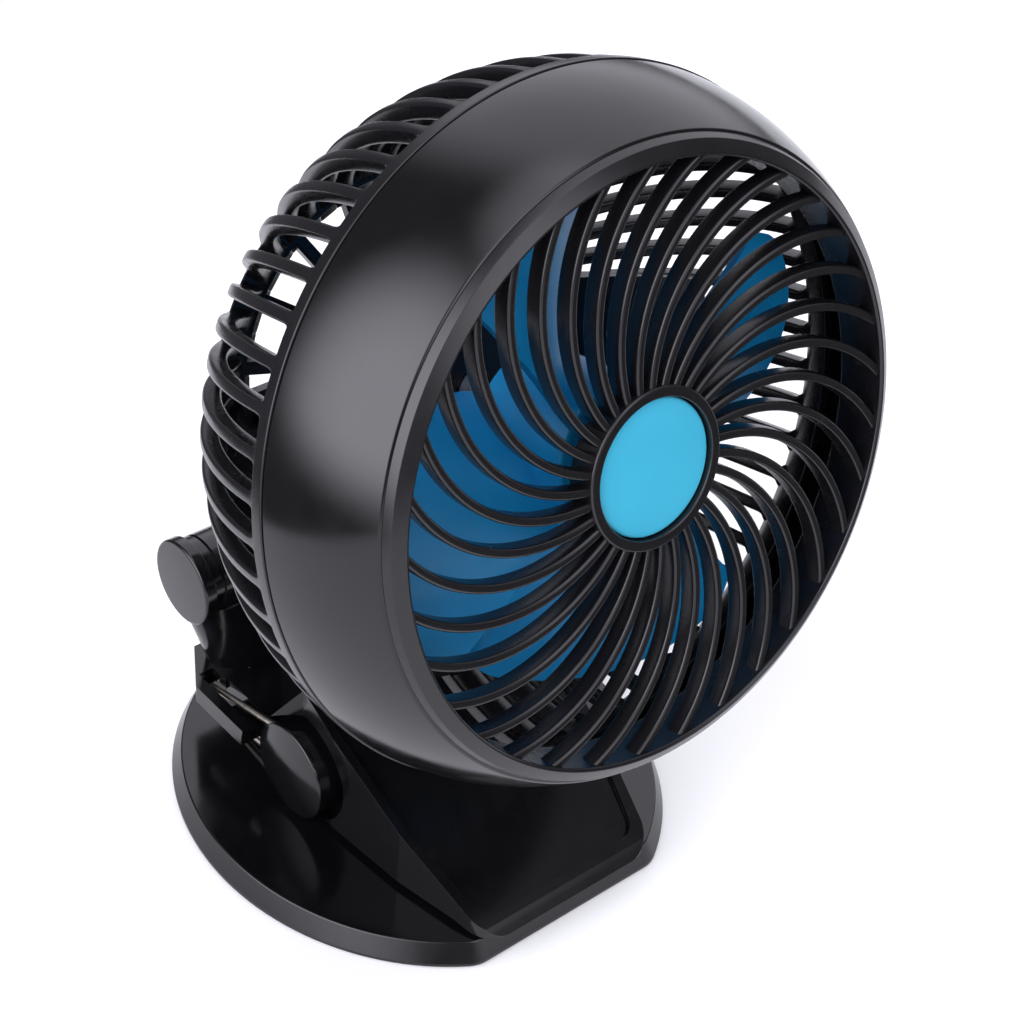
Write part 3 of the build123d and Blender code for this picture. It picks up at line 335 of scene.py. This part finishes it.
def startTree(name, inputs):
    # a geometry tree with named inputs, and the sockets that carry them
    tree = bpy.data.node_groups.new(name, "GeometryNodeTree")
    face = tree.interface
    face.new_socket("Geometry", in_out="OUTPUT", socket_type="NodeSocketGeometry")
    for socketName, kind in inputs.items():
        face.new_socket(socketName, in_out="INPUT", socket_type="NodeSocket" + kind)
    return tree, addNode(tree, "NodeGroupInput").outputs


def patternTree(name):
    # copies of a shape turned round the head's axis
    tree, given = startTree(name, {
        "Geometry": "Geometry", "Count": "Int", "Start Angle": "Float",
        "Centre": "Vector", "Tilt": "Vector", "Material": "Material",
    })
    points = addNode(tree, "GeometryNodePoints", {"Count": given["Count"]})
    index = addNode(tree, "GeometryNodeInputIndex")
    pitch = addNode(tree, "ShaderNodeMath", {0: 2 * pi, 1: given["Count"]}, operation="DIVIDE")
    turn = addNode(tree, "ShaderNodeMath", {
        0: index.outputs["Index"], 1: pitch.outputs[0], 2: given["Start Angle"],
    }, operation="MULTIPLY_ADD")
    spinVector = addNode(tree, "ShaderNodeCombineXYZ", {"Z": turn.outputs[0]})
    rotation = addNode(tree, "FunctionNodeEulerToRotation", {"Euler": spinVector.outputs[0]})
    copies = addNode(tree, "GeometryNodeInstanceOnPoints", {
        "Points": points.outputs[0], "Instance": given["Geometry"], "Rotation": rotation.outputs[0],
    })
    real = addNode(tree, "GeometryNodeRealizeInstances", {"Geometry": copies.outputs[0]})
    tilt = addNode(tree, "FunctionNodeEulerToRotation", {"Euler": given["Tilt"]})
    placed = addNode(tree, "GeometryNodeTransform", {
        "Geometry": real.outputs[0], "Translation": given["Centre"], "Rotation": tilt.outputs[0],
    })
    finish = addNode(tree, "GeometryNodeSetMaterial", {
        "Geometry": placed.outputs[0], "Material": given["Material"],
    })
    addNode(tree, "NodeGroupOutput", {"Geometry": finish.outputs[0]})
    return tree


def spiralTree(name):
    # a rib swept along an arc through three points, with its front edge on them
    tree, given = startTree(name, {
        "Inner End": "Vector", "Middle": "Vector", "Outer End": "Vector", "Points": "Int",
        "Rib Width": "Float", "Rib Depth": "Float", "Edge Radius": "Float",
    })
    path = addNode(tree, "GeometryNodeCurveArc", {
        "Resolution": given["Points"],
        "Start": given["Inner End"],
        "Middle": given["Middle"],
        "End": given["Outer End"],
    }, mode="POINTS")
    upright = addNode(tree, "GeometryNodeSetCurveNormal", {"Curve": path.outputs["Curve"]}, mode="Z_UP")
    section = addNode(tree, "GeometryNodeCurvePrimitiveQuadrilateral", {
        "Width": given["Rib Width"], "Height": given["Rib Depth"],
    })
    rounded = addNode(tree, "GeometryNodeFilletCurve", {
        "Curve": section.outputs["Curve"], "Radius": given["Edge Radius"], "Count": 4,
    }, mode="POLY")
    rib = addNode(tree, "GeometryNodeCurveToMesh", {
        "Curve": upright.outputs["Curve"], "Profile Curve": rounded.outputs["Curve"], "Fill Caps": True,
    })
    half = addNode(tree, "ShaderNodeMath", {0: given["Rib Depth"], 1: -0.5}, operation="MULTIPLY")
    lower = addNode(tree, "ShaderNodeCombineXYZ", {"Z": half.outputs[0]})
    sunk = addNode(tree, "GeometryNodeTransform", {
        "Geometry": rib.outputs[0], "Translation": lower.outputs[0],
    })
    addNode(tree, "NodeGroupOutput", {"Geometry": sunk.outputs[0]})
    return tree


def wireTree(name):
    # a round wire along the given path
    tree, given = startTree(name, {
        "Geometry": "Geometry", "Wire Radius": "Float", "Sides": "Int", "Material": "Material",
    })
    path = addNode(tree, "GeometryNodeMeshToCurve", {"Mesh": given["Geometry"]})
    section = addNode(tree, "GeometryNodeCurvePrimitiveCircle", {
        "Resolution": given["Sides"], "Radius": given["Wire Radius"],
    })
    wire = addNode(tree, "GeometryNodeCurveToMesh", {
        "Curve": path.outputs["Curve"], "Profile Curve": section.outputs["Curve"], "Fill Caps": True,
    })
    finish = addNode(tree, "GeometryNodeSetMaterial", {
        "Geometry": wire.outputs[0], "Material": given["Material"],
    })
    addNode(tree, "NodeGroupOutput", {"Geometry": finish.outputs[0]})
    return tree


def runTree(name, mesh, tree, values):
    # what the tree makes of the mesh, as a plain mesh
    holder = bpy.data.objects.new(name + "Source", mesh)
    bpy.context.scene.collection.objects.link(holder)
    modifier = holder.modifiers.new(tree.name, "NODES")
    modifier.node_group = tree
    for item in tree.interface.items_tree:
        if item.in_out == "INPUT" and item.name in values:
            modifier[item.identifier] = values[item.name]
    bpy.context.view_layer.update()
    made = bpy.data.meshes.new_from_object(holder.evaluated_get(bpy.context.evaluated_depsgraph_get()))
    made.name = name
    bpy.data.objects.remove(holder)
    bpy.data.meshes.remove(mesh)
    return made


def repeatRoundHead(name, shapeMesh, count, startAngle, slotName):
    return smoothShading(runTree(name, shapeMesh, patternTree(name + "Pattern"), {
        "Count": count,
        "Start Angle": startAngle,
        "Centre": discCentre,
        "Tilt": headPlace.to_euler(),
        "Material": slotMaterial[slotName],
    }))


shell = {
    "frontRadius": 68.6, "front": 0.4, "rearRadius": 77.5, "rear": 25.7, "bulge": 1.59,
    "wall": 2.2, "lipRounding": 0.5, "rows": 40, "steps": 240,
}


def shellSide(inset):
    middleRadius = (shell["frontRadius"] + shell["rearRadius"]) / 2 + shell["bulge"]
    return arcPoints(
        ((shell["frontRadius"] - inset) * mm, -shell["front"] * mm),
        ((middleRadius - inset) * mm, -(shell["front"] + shell["rear"]) / 2 * mm),
        ((shell["rearRadius"] - inset) * mm, -shell["rear"] * mm),
        shell["rows"],
    )


shellProfile = shellSide(0) + shellSide(shell["wall"])[::-1]
shellMesh = turned("frontShell", shellProfile, headPlace, shell["steps"])
frontShell = newPiece("frontShell", shellMesh, "head", "black_shell", "front_shell")
edgeBevel(frontShell, "lip", shell["lipRounding"], 40).harden_normals = True
print("front shell made")

bezel = {
    "seamRadius": 68.25, "seamDepth": -0.6, "seamWidth": 0.8, "crestRadius": 67.3, "crest": 1.3,
    "innerRadius": 64.0, "front": 3.0, "innerSlope": 0.6, "skirt": -9.0, "outerRadius": 66.1,
}
turnedPiece("bezelRing", [
    (bezel["outerRadius"], bezel["skirt"], 0.4),
    (bezel["outerRadius"], bezel["seamDepth"] - bezel["seamWidth"], 0.2),
    (bezel["seamRadius"], bezel["seamDepth"], 0.2),
    (bezel["crestRadius"], bezel["crest"], 0.35),
    (bezel["innerRadius"] + bezel["innerSlope"], bezel["front"], 0.5),
    (bezel["innerRadius"], bezel["front"] - bezel["innerSlope"], 0.5),
    (bezel["innerRadius"], bezel["skirt"], 0.4),
], headPlace, 240, "head", "black_grille", "front_grille")

# The cup that holds the centre disc
hub = {"ringRadius": 17.7, "seatRadius": 15.3, "front": 0.8, "floor": -2.0, "depth": -6.0, "wall": 2.0}
turnedPiece("hubRing", [
    (0, hub["floor"], 0),
    (hub["seatRadius"], hub["floor"], 0.1),
    (hub["seatRadius"], hub["front"], 0.45),
    (hub["ringRadius"], hub["front"], 0.7),
    (hub["ringRadius"], hub["depth"], 0.4),
    (hub["ringRadius"] - hub["wall"], hub["depth"], 0.4),
    (hub["ringRadius"] - hub["wall"], hub["floor"] - hub["wall"], 0.3),
    (0, hub["floor"] - hub["wall"], 0),
], headPlace, 128, "head", "black_grille", "front_grille", closed=False)

# Spiral ribs, whose front edges rise towards the rim
spiral = {
    "count": 33, "phase": 0.8, "midRadius": 42.0, "midTurn": -14.5, "turn": -34.5,
    "innerRadius": 16.9, "outerRadius": 64.8, "width": 2.0, "depth": 4.4, "edge": 0.7, "points": 40,
    "innerFront": 0.3, "midFront": 0.9, "outerFront": 1.7,
}


def spiralPoint(radius, turn, height):
    angle = radians(spiral["phase"] + turn)
    return Vector((radius * mm * cos(angle), radius * mm * sin(angle), height * mm))


ribMesh = runTree("spiralRib", bpy.data.meshes.new("spiralPath"), spiralTree("spiralRib"), {
    "Inner End": spiralPoint(spiral["innerRadius"], 0, spiral["innerFront"]),
    "Middle": spiralPoint(spiral["midRadius"], spiral["midTurn"], spiral["midFront"]),
    "Outer End": spiralPoint(spiral["outerRadius"], spiral["turn"], spiral["outerFront"]),
    "Points": spiral["points"],
    "Rib Width": spiral["width"] * mm,
    "Rib Depth": spiral["depth"] * mm,
    "Edge Radius": spiral["edge"] * mm,
})
frontRibs = repeatRoundHead("frontRibs", ribMesh, spiral["count"], 0.0, "black_grille")
newPiece("frontRibs", frontRibs, "head", "black_grille", "front_grille")
print("front grille made", len(frontRibs.polygons))

# Centre disc with a slight dome and a rounded rim
disc = {"radius": 15.0, "thickness": 2.0, "edge": 0.6, "dome": 0.35, "rows": 16, "steps": 128}
domeRadius = (disc["radius"] ** 2 + disc["dome"] ** 2) / (2 * disc["dome"])
discTop = []
for k in range(disc["rows"] + 1):
    r = (disc["radius"] - disc["edge"]) * (1 - k / disc["rows"])
    fall = domeRadius - sqrt(domeRadius ** 2 - r ** 2)
    discTop.append(Vector((r * mm, -fall * mm)))
discRim = []
for angle in (0, 22, 45, 67):
    inwards = disc["edge"] * (1 - cos(radians(angle)))
    downwards = disc["edge"] * (1 - sin(radians(angle)))
    discRim.append(Vector(((disc["radius"] - inwards) * mm, (discTop[0][1] / mm - downwards) * mm)))
discBack = [Vector((r * mm, -disc["thickness"] * mm)) for r in (0, disc["radius"])]
discMesh = turned("centreDisc", discBack + discRim + discTop, headPlace, disc["steps"], closed=False)
newPiece("centreDisc", discMesh, "head", "cyan_disc", "centre_disc")

# Rear grille: a bowl of ribs between a band at the shell and a ring at the back. Depths are
# behind the disc, and the spokes and the motor's cup stand in the ring.
bowl = {
    "radius": 77.79, "halfLength": 75.0, "seam": 25.7, "back": 85.0, "band": 3.2,
    "ribs": 54, "phase": -2.7, "ribWidth": 2.7, "ribDepth": 4.2, "ribRows": 46, "endGap": 0.3,
    "ringProud": 0.3, "ringWall": 3.2, "ringWidth": 4.0, "cornerFillet": 1.8, "flareLimit": 1.3, "edge": 0.7,
    "lipGap": 0.3, "lipWall": 2.4, "lipLength": 5.0, "lipTaper": 1.1, "lipStep": 0.2,
    "spokes": 18, "spokeWidth": 3.0, "spokeSink": 0.8, "spokeReach": 1.0,
    "cupRadius": 16.5, "cupInner": 14.3, "cupFront": 57.8, "cupFloor": 82.5,
    "cupLipRadius": 4.6, "cupLipRear": 59.2,
}
bandEnd = bowl["seam"] + bowl["band"]
ringStart = bowl["back"] - bowl["ringWall"]


def bowlRadius(depth, inset=0.0):
    reach = (depth - bowl["seam"]) / (bowl["halfLength"] - inset)
    return (bowl["radius"] - inset) * sqrt(max(0.0, 1 - reach ** 2))


def meridianRib():
    # wider where the rib runs into the band and the ring
    first, last = bowl["seam"] + bowl["endGap"], bowl["back"] - bowl["endGap"]
    fillet, edge = bowl["cornerFillet"], bowl["edge"]
    loops = []
    for k in range(bowl["ribRows"] + 1):
        depth = first + (last - first) * k / bowl["ribRows"]
        fromCorner = min(max(depth - bandEnd, 0.0), max(ringStart - depth, 0.0))
        flare = 0.0
        if fromCorner < fillet:
            flare = fillet - sqrt(fillet ** 2 - (fillet - fromCorner) ** 2)
        half = bowl["ribWidth"] / 2 + min(flare, bowl["flareLimit"]) - edge
        outer = bowlRadius(depth, bowl["ringProud"]) - edge
        inner = bowlRadius(depth, bowl["ribDepth"]) + edge
        loop = []
        for x, r, quarter in ((half, outer, 0), (-half, outer, 90), (-half, inner, 180), (half, inner, 270)):
            for angle in (0, 30, 60, 90):
                turn = radians(quarter + angle)
                loop.append(((r + edge * sin(turn)) * mm, (x + edge * cos(turn)) * mm, -depth * mm))
        loops.append(loop)
    return joinLoops("meridianRib", loops)


rearPhase = radians(bowl["phase"])
rearRibs = repeatRoundHead("rearRibs", meridianRib(), bowl["ribs"], rearPhase, "black_grille")
newPiece("rearRibs", rearRibs, "head", "black_grille", "rear_grille")
lipOuter = shell["rearRadius"] - (shell["wall"] + bowl["lipGap"])
lipInner = shell["rearRadius"] - (shell["wall"] + bowl["lipGap"] + bowl["lipWall"])
lipFront = bowl["seam"] - bowl["lipLength"]
turnedPiece("rearBand", [
    (lipOuter - bowl["lipTaper"], -lipFront, 0.3),
    (lipOuter - bowl["lipStep"], -bowl["seam"], 0),
    (bowl["radius"], -bowl["seam"], 0.35),
    (bowlRadius(bandEnd), -bandEnd, 0.35),
    (bowlRadius(bandEnd, bowl["ringWall"]), -bandEnd, 0.35),
    (lipInner, -bowl["seam"], 0),
    (lipInner - bowl["lipTaper"], -lipFront, 0.3),
], headPlace, 240, "head", "black_grille", "rear_grille")
ringInner = bowlRadius(bowl["back"]) - bowl["ringWidth"]
turnedPiece("backRing", [
    (ringInner, -bowl["back"], 0.5),
    (bowlRadius(bowl["back"]), -bowl["back"], 0.6),
    (bowlRadius(ringStart), -ringStart, 0.4),
    (ringInner, -ringStart, 0.5),
], headPlace, 200, "head", "black_grille", "rear_grille")
turnedPiece("motorCup", [
    (0, -bowl["back"], 0),
    (bowl["cupRadius"], -bowl["back"], 0.5),
    (bowl["cupRadius"], -bowl["cupFront"], 0.5),
    (bowl["cupLipRadius"], -bowl["cupFront"], 0.3),
    (bowl["cupLipRadius"], -bowl["cupLipRear"], 0.3),
    (bowl["cupInner"], -bowl["cupLipRear"], 0.2),
    (bowl["cupInner"], -bowl["cupFloor"], 0.2),
    (0, -bowl["cupFloor"], 0),
], headPlace, 96, "head", "black_grille", "rear_grille", closed=False)
spokeInner = bowl["cupRadius"] - bowl["spokeSink"]
spokeOuter = ringInner + bowl["spokeReach"]
spokeSize = (spokeOuter - spokeInner, bowl["spokeWidth"], bowl["ringWall"])
spokeCentre = ((spokeInner + spokeOuter) / 2, 0, -(bowl["back"] + ringStart) / 2)
spokePhase = 2 * pi / bowl["ribs"] + rearPhase
spokeMesh = bar("spoke", spokeSize, spokeCentre, 0.5)
backSpokes = repeatRoundHead("backSpokes", spokeMesh, bowl["spokes"], spokePhase, "black_grille")
newPiece("backSpokes", backSpokes, "head", "black_grille", "rear_grille")

# A tray inside the bowl's ribs closes the lower half of its rear.
backTray = {"front": 54.6, "rear": 84.4, "top": 5.5, "wall": 1.6, "gap": 0.2, "rows": 16, "steps": 72}


def trayArc(radius, depth):
    start = asin(backTray["top"] / radius)
    sweep = pi + 2 * start
    points = []
    for k in range(backTray["steps"] + 1):
        angle = start - sweep * k / backTray["steps"]
        points.append(Vector((radius * cos(angle), radius * sin(angle), -depth)) * mm)
    return points


trayLoops = []
for k in range(backTray["rows"] + 1):
    depth = backTray["front"] + (backTray["rear"] - backTray["front"]) * k / backTray["rows"]
    outerRadius = bowlRadius(depth, bowl["ribDepth"]) - backTray["gap"]
    trayLoops.append(trayArc(outerRadius, depth) + trayArc(outerRadius - backTray["wall"], depth)[::-1])
newPiece("backTray", joinLoops("backTray", trayLoops, headPlace), "head", "black_grille", "rear_grille")
floorRadius = bowlRadius(backTray["rear"], bowl["ribDepth"]) - backTray["gap"] - backTray["wall"] / 2
floorLoops = [trayArc(floorRadius, backTray["rear"] - depth) for depth in (backTray["wall"], 0.1)]
trayFloor = joinLoops("backTrayFloor", floorLoops, headPlace)
newPiece("backTrayFloor", trayFloor, "head", "black_grille", "rear_grille")
print("rear grille made")

# Impeller: sections hold a blade's radius, half width and pitch in degrees.
fan = {
    "count": 4, "phase": 6.0, "tipRadius": 59.0, "front": 13.0, "rear": 39.0, "thickness": 1.8,
    "hubRadius": 15.5, "hubFront": 11.5, "hubRear": 38.0, "hubWall": 2.0, "frontOverrun": 1.0,
    "sections": ((11.5, 9.0, 46.0), (36.0, 20.5, 33.0), (61.0, 33.5, 20.0)),
    "bow": 0.22, "tipPull": 4.5, "tipPullStart": 0.72, "across": 28, "out": 24,
}


def bladeAt(radius):
    # half width and pitch between the three sections, on one parabola
    (r0, w0, p0), (r1, w1, p1), (r2, w2, p2) = fan["sections"]
    a = (radius - r1) * (radius - r2) / ((r0 - r1) * (r0 - r2))
    b = (radius - r0) * (radius - r2) / ((r1 - r0) * (r1 - r2))
    c = (radius - r0) * (radius - r1) / ((r2 - r0) * (r2 - r1))
    return a * w0 + b * w1 + c * w2, a * p0 + b * p1 + c * p2


def bladeMesh():
    shape = bmesh.new()
    across, out = fan["across"], fan["out"]
    rootRadius = fan["hubRadius"] - fan["hubWall"]
    grid = []
    for j in range(out + 1):
        row = []
        for i in range(across + 1):
            u = -1 + 2 * i / across
            # the tip's corners are rounded, so it pulls in towards both edges
            nearEdge = max(0.0, (abs(u) - fan["tipPullStart"]) / (1 - fan["tipPullStart"]))
            radius = rootRadius + (fan["tipRadius"] - rootRadius) * j / out
            radius -= fan["tipPull"] * nearEdge ** 2 * (j / out) ** 6
            half, pitch = bladeAt(radius)
            x = u * half
            lift = x * sin(radians(pitch)) / cos(radians(pitch)) - half * fan["bow"] * (u * u - 0.5)
            z = lift - (fan["front"] + fan["rear"]) / 2
            z = min(max(z, -fan["rear"]), fan["frontOverrun"] - fan["front"])
            angle = x / radius
            row.append(shape.verts.new((radius * cos(angle) * mm, radius * sin(angle) * mm, z * mm)))
        grid.append(row)
    for lower, upper in zip(grid, grid[1:]):
        for i in range(across):
            shape.faces.new((lower[i], lower[i + 1], upper[i + 1], upper[i]))
    bmesh.ops.recalc_face_normals(shape, faces=shape.faces)
    bmesh.ops.solidify(shape, geom=shape.faces, thickness=fan["thickness"] * mm)
    bmesh.ops.recalc_face_normals(shape, faces=shape.faces)
    return finishShape("blade", shape)


blades = repeatRoundHead("impellerBlades", bladeMesh(), fan["count"], radians(fan["phase"]), "blue_blade")
newPiece("impellerBlades", blades, "impeller", "blue_blade", "impeller")
turnedPiece("impellerHub", [
    (0, -fan["hubFront"], 0),
    (fan["hubRadius"], -fan["hubFront"], 1.5),
    (fan["hubRadius"], -fan["hubRear"], 0.3),
    (fan["hubRadius"] - fan["hubWall"], -fan["hubRear"], 0.3),
    (fan["hubRadius"] - fan["hubWall"], -fan["hubFront"] - fan["hubWall"], 0.5),
    (0, -fan["hubFront"] - fan["hubWall"], 0),
], headPlace, 96, "impeller", "blue_blade", "impeller", closed=False)
print("impeller made")

softenedCopy("footPlate", "base_plate", "base", 0.5)
softenedCopy("clipJaw", "jaw_shell", "upper_jaw", 0.4)
softenedCopy("neckColumn", "neck", "upper_jaw", 0.5)
softenedCopy("rearBox", "rear_box", "head", 0.5)
softenedCopy("boxCover", "box_cover", "head", 0.4)
softenedCopy("powerButton", "power_button", "power_button", 0.4)
print("moulded pieces made")

# Knobs that close the tilt barrel's ends
knob = {"radius": 11.0, "seat": 40.2, "face": 43.5, "edge": 0.8, "plugRadius": 6.0, "plugEnd": 35.7}
for sideName, side in (("left", -1), ("right", 1)):
    turnedPiece("tiltCap" + sideName.capitalize(), [
        (0, knob["plugEnd"], 0),
        (knob["plugRadius"], knob["plugEnd"], 0.3),
        (knob["plugRadius"], knob["seat"], 0),
        (knob["radius"], knob["seat"], 0.3),
        (knob["radius"], knob["face"], knob["edge"]),
        (0, knob["face"], 0),
    ], sidePlace(tiltCentre, side), 96, "head", "black_shell", "tilt_cap_" + sideName, closed=False)
print("tilt knobs made")

# Caps over the clip springs: a low dome with a soft rim, and a wall that hides the coil
cap = {
    "radius": 12.5, "seat": 37.1, "rim": 37.9, "dome": 39.5, "rimRounding": 0.9, "domeRows": 16,
    "postRadius": 4.0, "postEnd": 29.8,
    "wallRadius": 12.1, "wall": 0.8, "wallSink": 0.2, "wallEnd": 30.0, "wallStart": 44, "wallStop": 298,
    "wallRows": 72,
}
capRise = cap["dome"] - cap["rim"]
capSphere = (cap["radius"] ** 2 + capRise ** 2) / (2 * capRise)
capCorners = [
    (0, cap["postEnd"], 0),
    (cap["postRadius"], cap["postEnd"], 0.2),
    (cap["postRadius"], cap["seat"], 0.3),
    (cap["radius"], cap["seat"], 0.2),
    (cap["radius"], cap["rim"], cap["rimRounding"]),
]
for k in range(1, cap["domeRows"] + 1):
    r = cap["radius"] * (1 - k / cap["domeRows"])
    capCorners.append((r, cap["dome"] - capSphere + sqrt(capSphere ** 2 - r ** 2), 0))
wallOuter, wallInner = cap["wallRadius"], cap["wallRadius"] - cap["wall"]
wallSeat = cap["seat"] + cap["wallSink"]
wallSection = (
    (wallOuter, wallSeat), (wallOuter, cap["wallEnd"]), (wallInner, cap["wallEnd"]), (wallInner, wallSeat),
)
for sideName, side in (("left", -1), ("right", 1)):
    place = sidePlace(hingeCentre, side)
    capNode = "hinge_cap_" + sideName
    capName = "hingeCap" + sideName.capitalize()
    turnedPiece(capName, capCorners, place, 96, "base", "black_shell", capNode, closed=False)
    wallLoops = []
    for k in range(cap["wallRows"] + 1):
        angle = radians(cap["wallStart"] + (cap["wallStop"] - cap["wallStart"]) * k / cap["wallRows"])
        outwards = Vector((cos(angle) * side, sin(angle), 0))
        wallLoops.append([(outwards * r + Vector((0, 0, z))) * mm for r, z in wallSection])
    wallName = "capWall" + sideName.capitalize()
    newPiece(wallName, joinLoops(wallName, wallLoops, place), "base", "black_shell", capNode)
print("clip caps made")

# Clip springs: the coil's upper leg ends on the handle, its lower leg on the foot plate
spring = {
    "wireRadius": 0.9, "sides": 14, "coilRadius": 9.0, "pitch": 1.95, "fullTurns": 2, "innerEnd": 30.6,
    "footY": 38.0, "footZ": 7.8, "hookY": 39.4, "hookZ": 20.8, "hookOut": 0.4, "coilSteps": 96,
}


def springWire(side):
    # the wire's run round the coil to the hook, and from the coil to the foot plate
    hingeY, hingeZ = hingeCentre.y / mm, hingeCentre.z / mm
    radius = spring["coilRadius"]
    footY, footZ = spring["footY"] - hingeY, spring["footZ"] - hingeZ
    hookY, hookZ = spring["hookY"] - hingeY, spring["hookZ"] - hingeZ
    footReach, hookReach = sqrt(footY ** 2 + footZ ** 2), sqrt(hookY ** 2 + hookZ ** 2)
    footAngle = atan2(footZ, footY) - acos(radius / footReach)
    hookAngle = atan2(hookZ, hookY) + acos(radius / hookReach)
    sweep = (footAngle - hookAngle) % (2 * pi) + 2 * pi * spring["fullTurns"]

    def coilPoint(wound):
        angle = footAngle - wound
        out = spring["innerEnd"] + spring["pitch"] * wound / (2 * pi)
        return Vector((side * out, hingeY + radius * cos(angle), hingeZ + radius * sin(angle))) * mm

    steps = spring["coilSteps"]
    coil = [coilPoint(sweep * k / steps) for k in range(steps + 1)]
    foot = Vector((side * spring["innerEnd"], spring["footY"], spring["footZ"])) * mm
    hook = Vector((coil[-1].x / mm + side * spring["hookOut"], spring["hookY"], spring["hookZ"])) * mm
    # the lower leg starts inside the coil's first 18 degrees, so that no gap opens between them
    reachBack = [coilPoint(k * pi / 60) for k in range(6, -1, -1)]
    return coil + [hook], reachBack + [foot]


def wirePiece(name, points, body, replaced):
    line = bpy.data.meshes.new(name + "Path")
    line.from_pydata(points, [(k, k + 1) for k in range(len(points) - 1)], [])
    mesh = runTree(name, line, wireTree(name + "Wire"), {
        "Wire Radius": spring["wireRadius"] * mm, "Sides": spring["sides"], "Material": springSteel,
    })
    newPiece(name, smoothShading(mesh, 50), body, "spring_steel", replaced)


for sideName, side in (("Left", -1), ("Right", 1)):
    coilRun, footRun = springWire(side)
    wirePiece("springCoil" + sideName, coilRun, "upper_jaw", "spring_" + sideName.lower())
    wirePiece("springFoot" + sideName, footRun, "base", "spring_" + sideName.lower())
print("springs made")

view = {
    "right": (0.76477, -0.64061, 0.06887), "up": (0.35276, 0.50577, 0.78724),
    "back": (-0.53915, -0.57776, 0.61279), "place": (-272.53, -318.90, 412.59), "lens": 80.367,
}
camera = bpy.data.objects.new("camera", bpy.data.cameras.new("camera"))
bpy.context.scene.collection.objects.link(camera)
cameraAxes = [Vector(view[axis]) for axis in ("right", "up", "back")]
camera.matrix_world = placeOf(Vector(view["place"]) * mm, *cameraAxes)
camera.data.lens = view["lens"]
camera.data.sensor_width = 36
camera.data.clip_start = 0.01
camera.data.clip_end = 50
bpy.context.scene.camera = camera

# A softbox fades from its middle outwards: heading, height, the angles at which it starts to
# fade and where it ends, all in degrees, and its brightness. The left one is the main light.
studio = {
    "softboxes": {
        "left": (184, 22, 5, 52, 4.7),
        "backRight": (36, 38, 24, 46, 1.3),
        "front": (-82, 35, 6, 30, 2.4),
        "above": (-60, 80, 5, 30, 2.0),
    },
    "dimSky": 0.16, "sky": "#f5f5ff", "floor": "#f2f2f2", "floorLift": 0.16, "lift": "#fffffb",
    # The floor stops short at the front right, where the grille would mirror it.
    "corners": [(-1.9, -0.86), (-1.9, -6), (0, -6), (0.03, -0.17), (0.16, -0.1), (6, -2.6), (6, 4.08)],
}
floorMesh = bpy.data.meshes.new("studioFloor")
floorMesh.from_pydata([(x, y, 0) for x, y in studio["corners"]], [], [range(len(studio["corners"]))])
studioFloor = bpy.data.objects.new("studioFloor", floorMesh)
bpy.context.scene.collection.objects.link(studioFloor)
floorMaterial, floorTree, floorShader = startMaterial("paintedStudioFloor")[:3]
floorShader.inputs["Base Color"].default_value = linearColour(studio["floor"])
floorShader.inputs["Roughness"].default_value = 0.9
floorShader.inputs["Specular IOR Level"].default_value = 0.0
floorMesh.materials.append(floorMaterial)
# The camera sees the floor a little brighter than the object does, so that it meets the white.
floorSeen = addNode(floorTree, "ShaderNodeLightPath")
floorLift = addNode(floorTree, "ShaderNodeMath", {
    0: floorSeen.outputs["Is Camera Ray"], 1: studio["floorLift"],
}, operation="MULTIPLY")
floorShader.inputs["Emission Color"].default_value = linearColour(studio["lift"])
floorTree.links.new(floorLift.outputs[0], floorShader.inputs["Emission Strength"])

world = bpy.data.worlds.new("studio")
bpy.context.scene.world = world
world.use_nodes = True
worldTree = world.node_tree
worldTree.nodes.clear()
toSky = addNode(worldTree, "ShaderNodeTexCoord").outputs["Generated"]
height = addNode(worldTree, "ShaderNodeSeparateXYZ", {"Vector": toSky}).outputs["Z"]
horizon = addNode(worldTree, "ShaderNodeMapRange", {
    "Value": height, "From Min": -0.2, "From Max": 0.2,
}, interpolation_type="SMOOTHSTEP").outputs["Result"]
glows = 0.0
for heading, rise, fadeStart, fadeEnd, brightness in studio["softboxes"].values():
    level = cos(radians(rise))
    aim = Vector((cos(radians(heading)) * level, sin(radians(heading)) * level, sin(radians(rise))))
    near = addNode(worldTree, "ShaderNodeVectorMath", {0: toSky, 1: aim}, operation="DOT_PRODUCT")
    glow = addNode(worldTree, "ShaderNodeMapRange", {
        "Value": near.outputs["Value"],
        "From Min": cos(radians(fadeEnd)),
        "From Max": cos(radians(fadeStart)),
        "To Max": brightness,
    }, interpolation_type="SMOOTHSTEP")
    glows = addNode(worldTree, "ShaderNodeMath", {0: glow.outputs["Result"], 1: glows}).outputs[0]
skyLevel = addNode(worldTree, "ShaderNodeMath", {
    0: glows, 1: horizon, 2: studio["dimSky"],
}, operation="MULTIPLY_ADD").outputs[0]
studioLight = addNode(worldTree, "ShaderNodeBackground", {
    "Color": linearColour(studio["sky"]), "Strength": skyLevel,
})
white = addNode(worldTree, "ShaderNodeBackground", {"Color": (1, 1, 1, 1), "Strength": 1.0})
seen = addNode(worldTree, "ShaderNodeLightPath")
plainRays = addNode(worldTree, "ShaderNodeMath", {
    0: seen.outputs["Is Camera Ray"], 1: seen.outputs["Is Transmission Ray"],
}, operation="MAXIMUM")
worldMix = addNode(worldTree, "ShaderNodeMixShader", {
    0: plainRays.outputs[0], 1: studioLight.outputs[0], 2: white.outputs[0],
})
addNode(worldTree, "ShaderNodeOutputWorld", {"Surface": worldMix.outputs[0]})
bpy.context.scene.view_settings.view_transform = "Standard"
print("studio made")
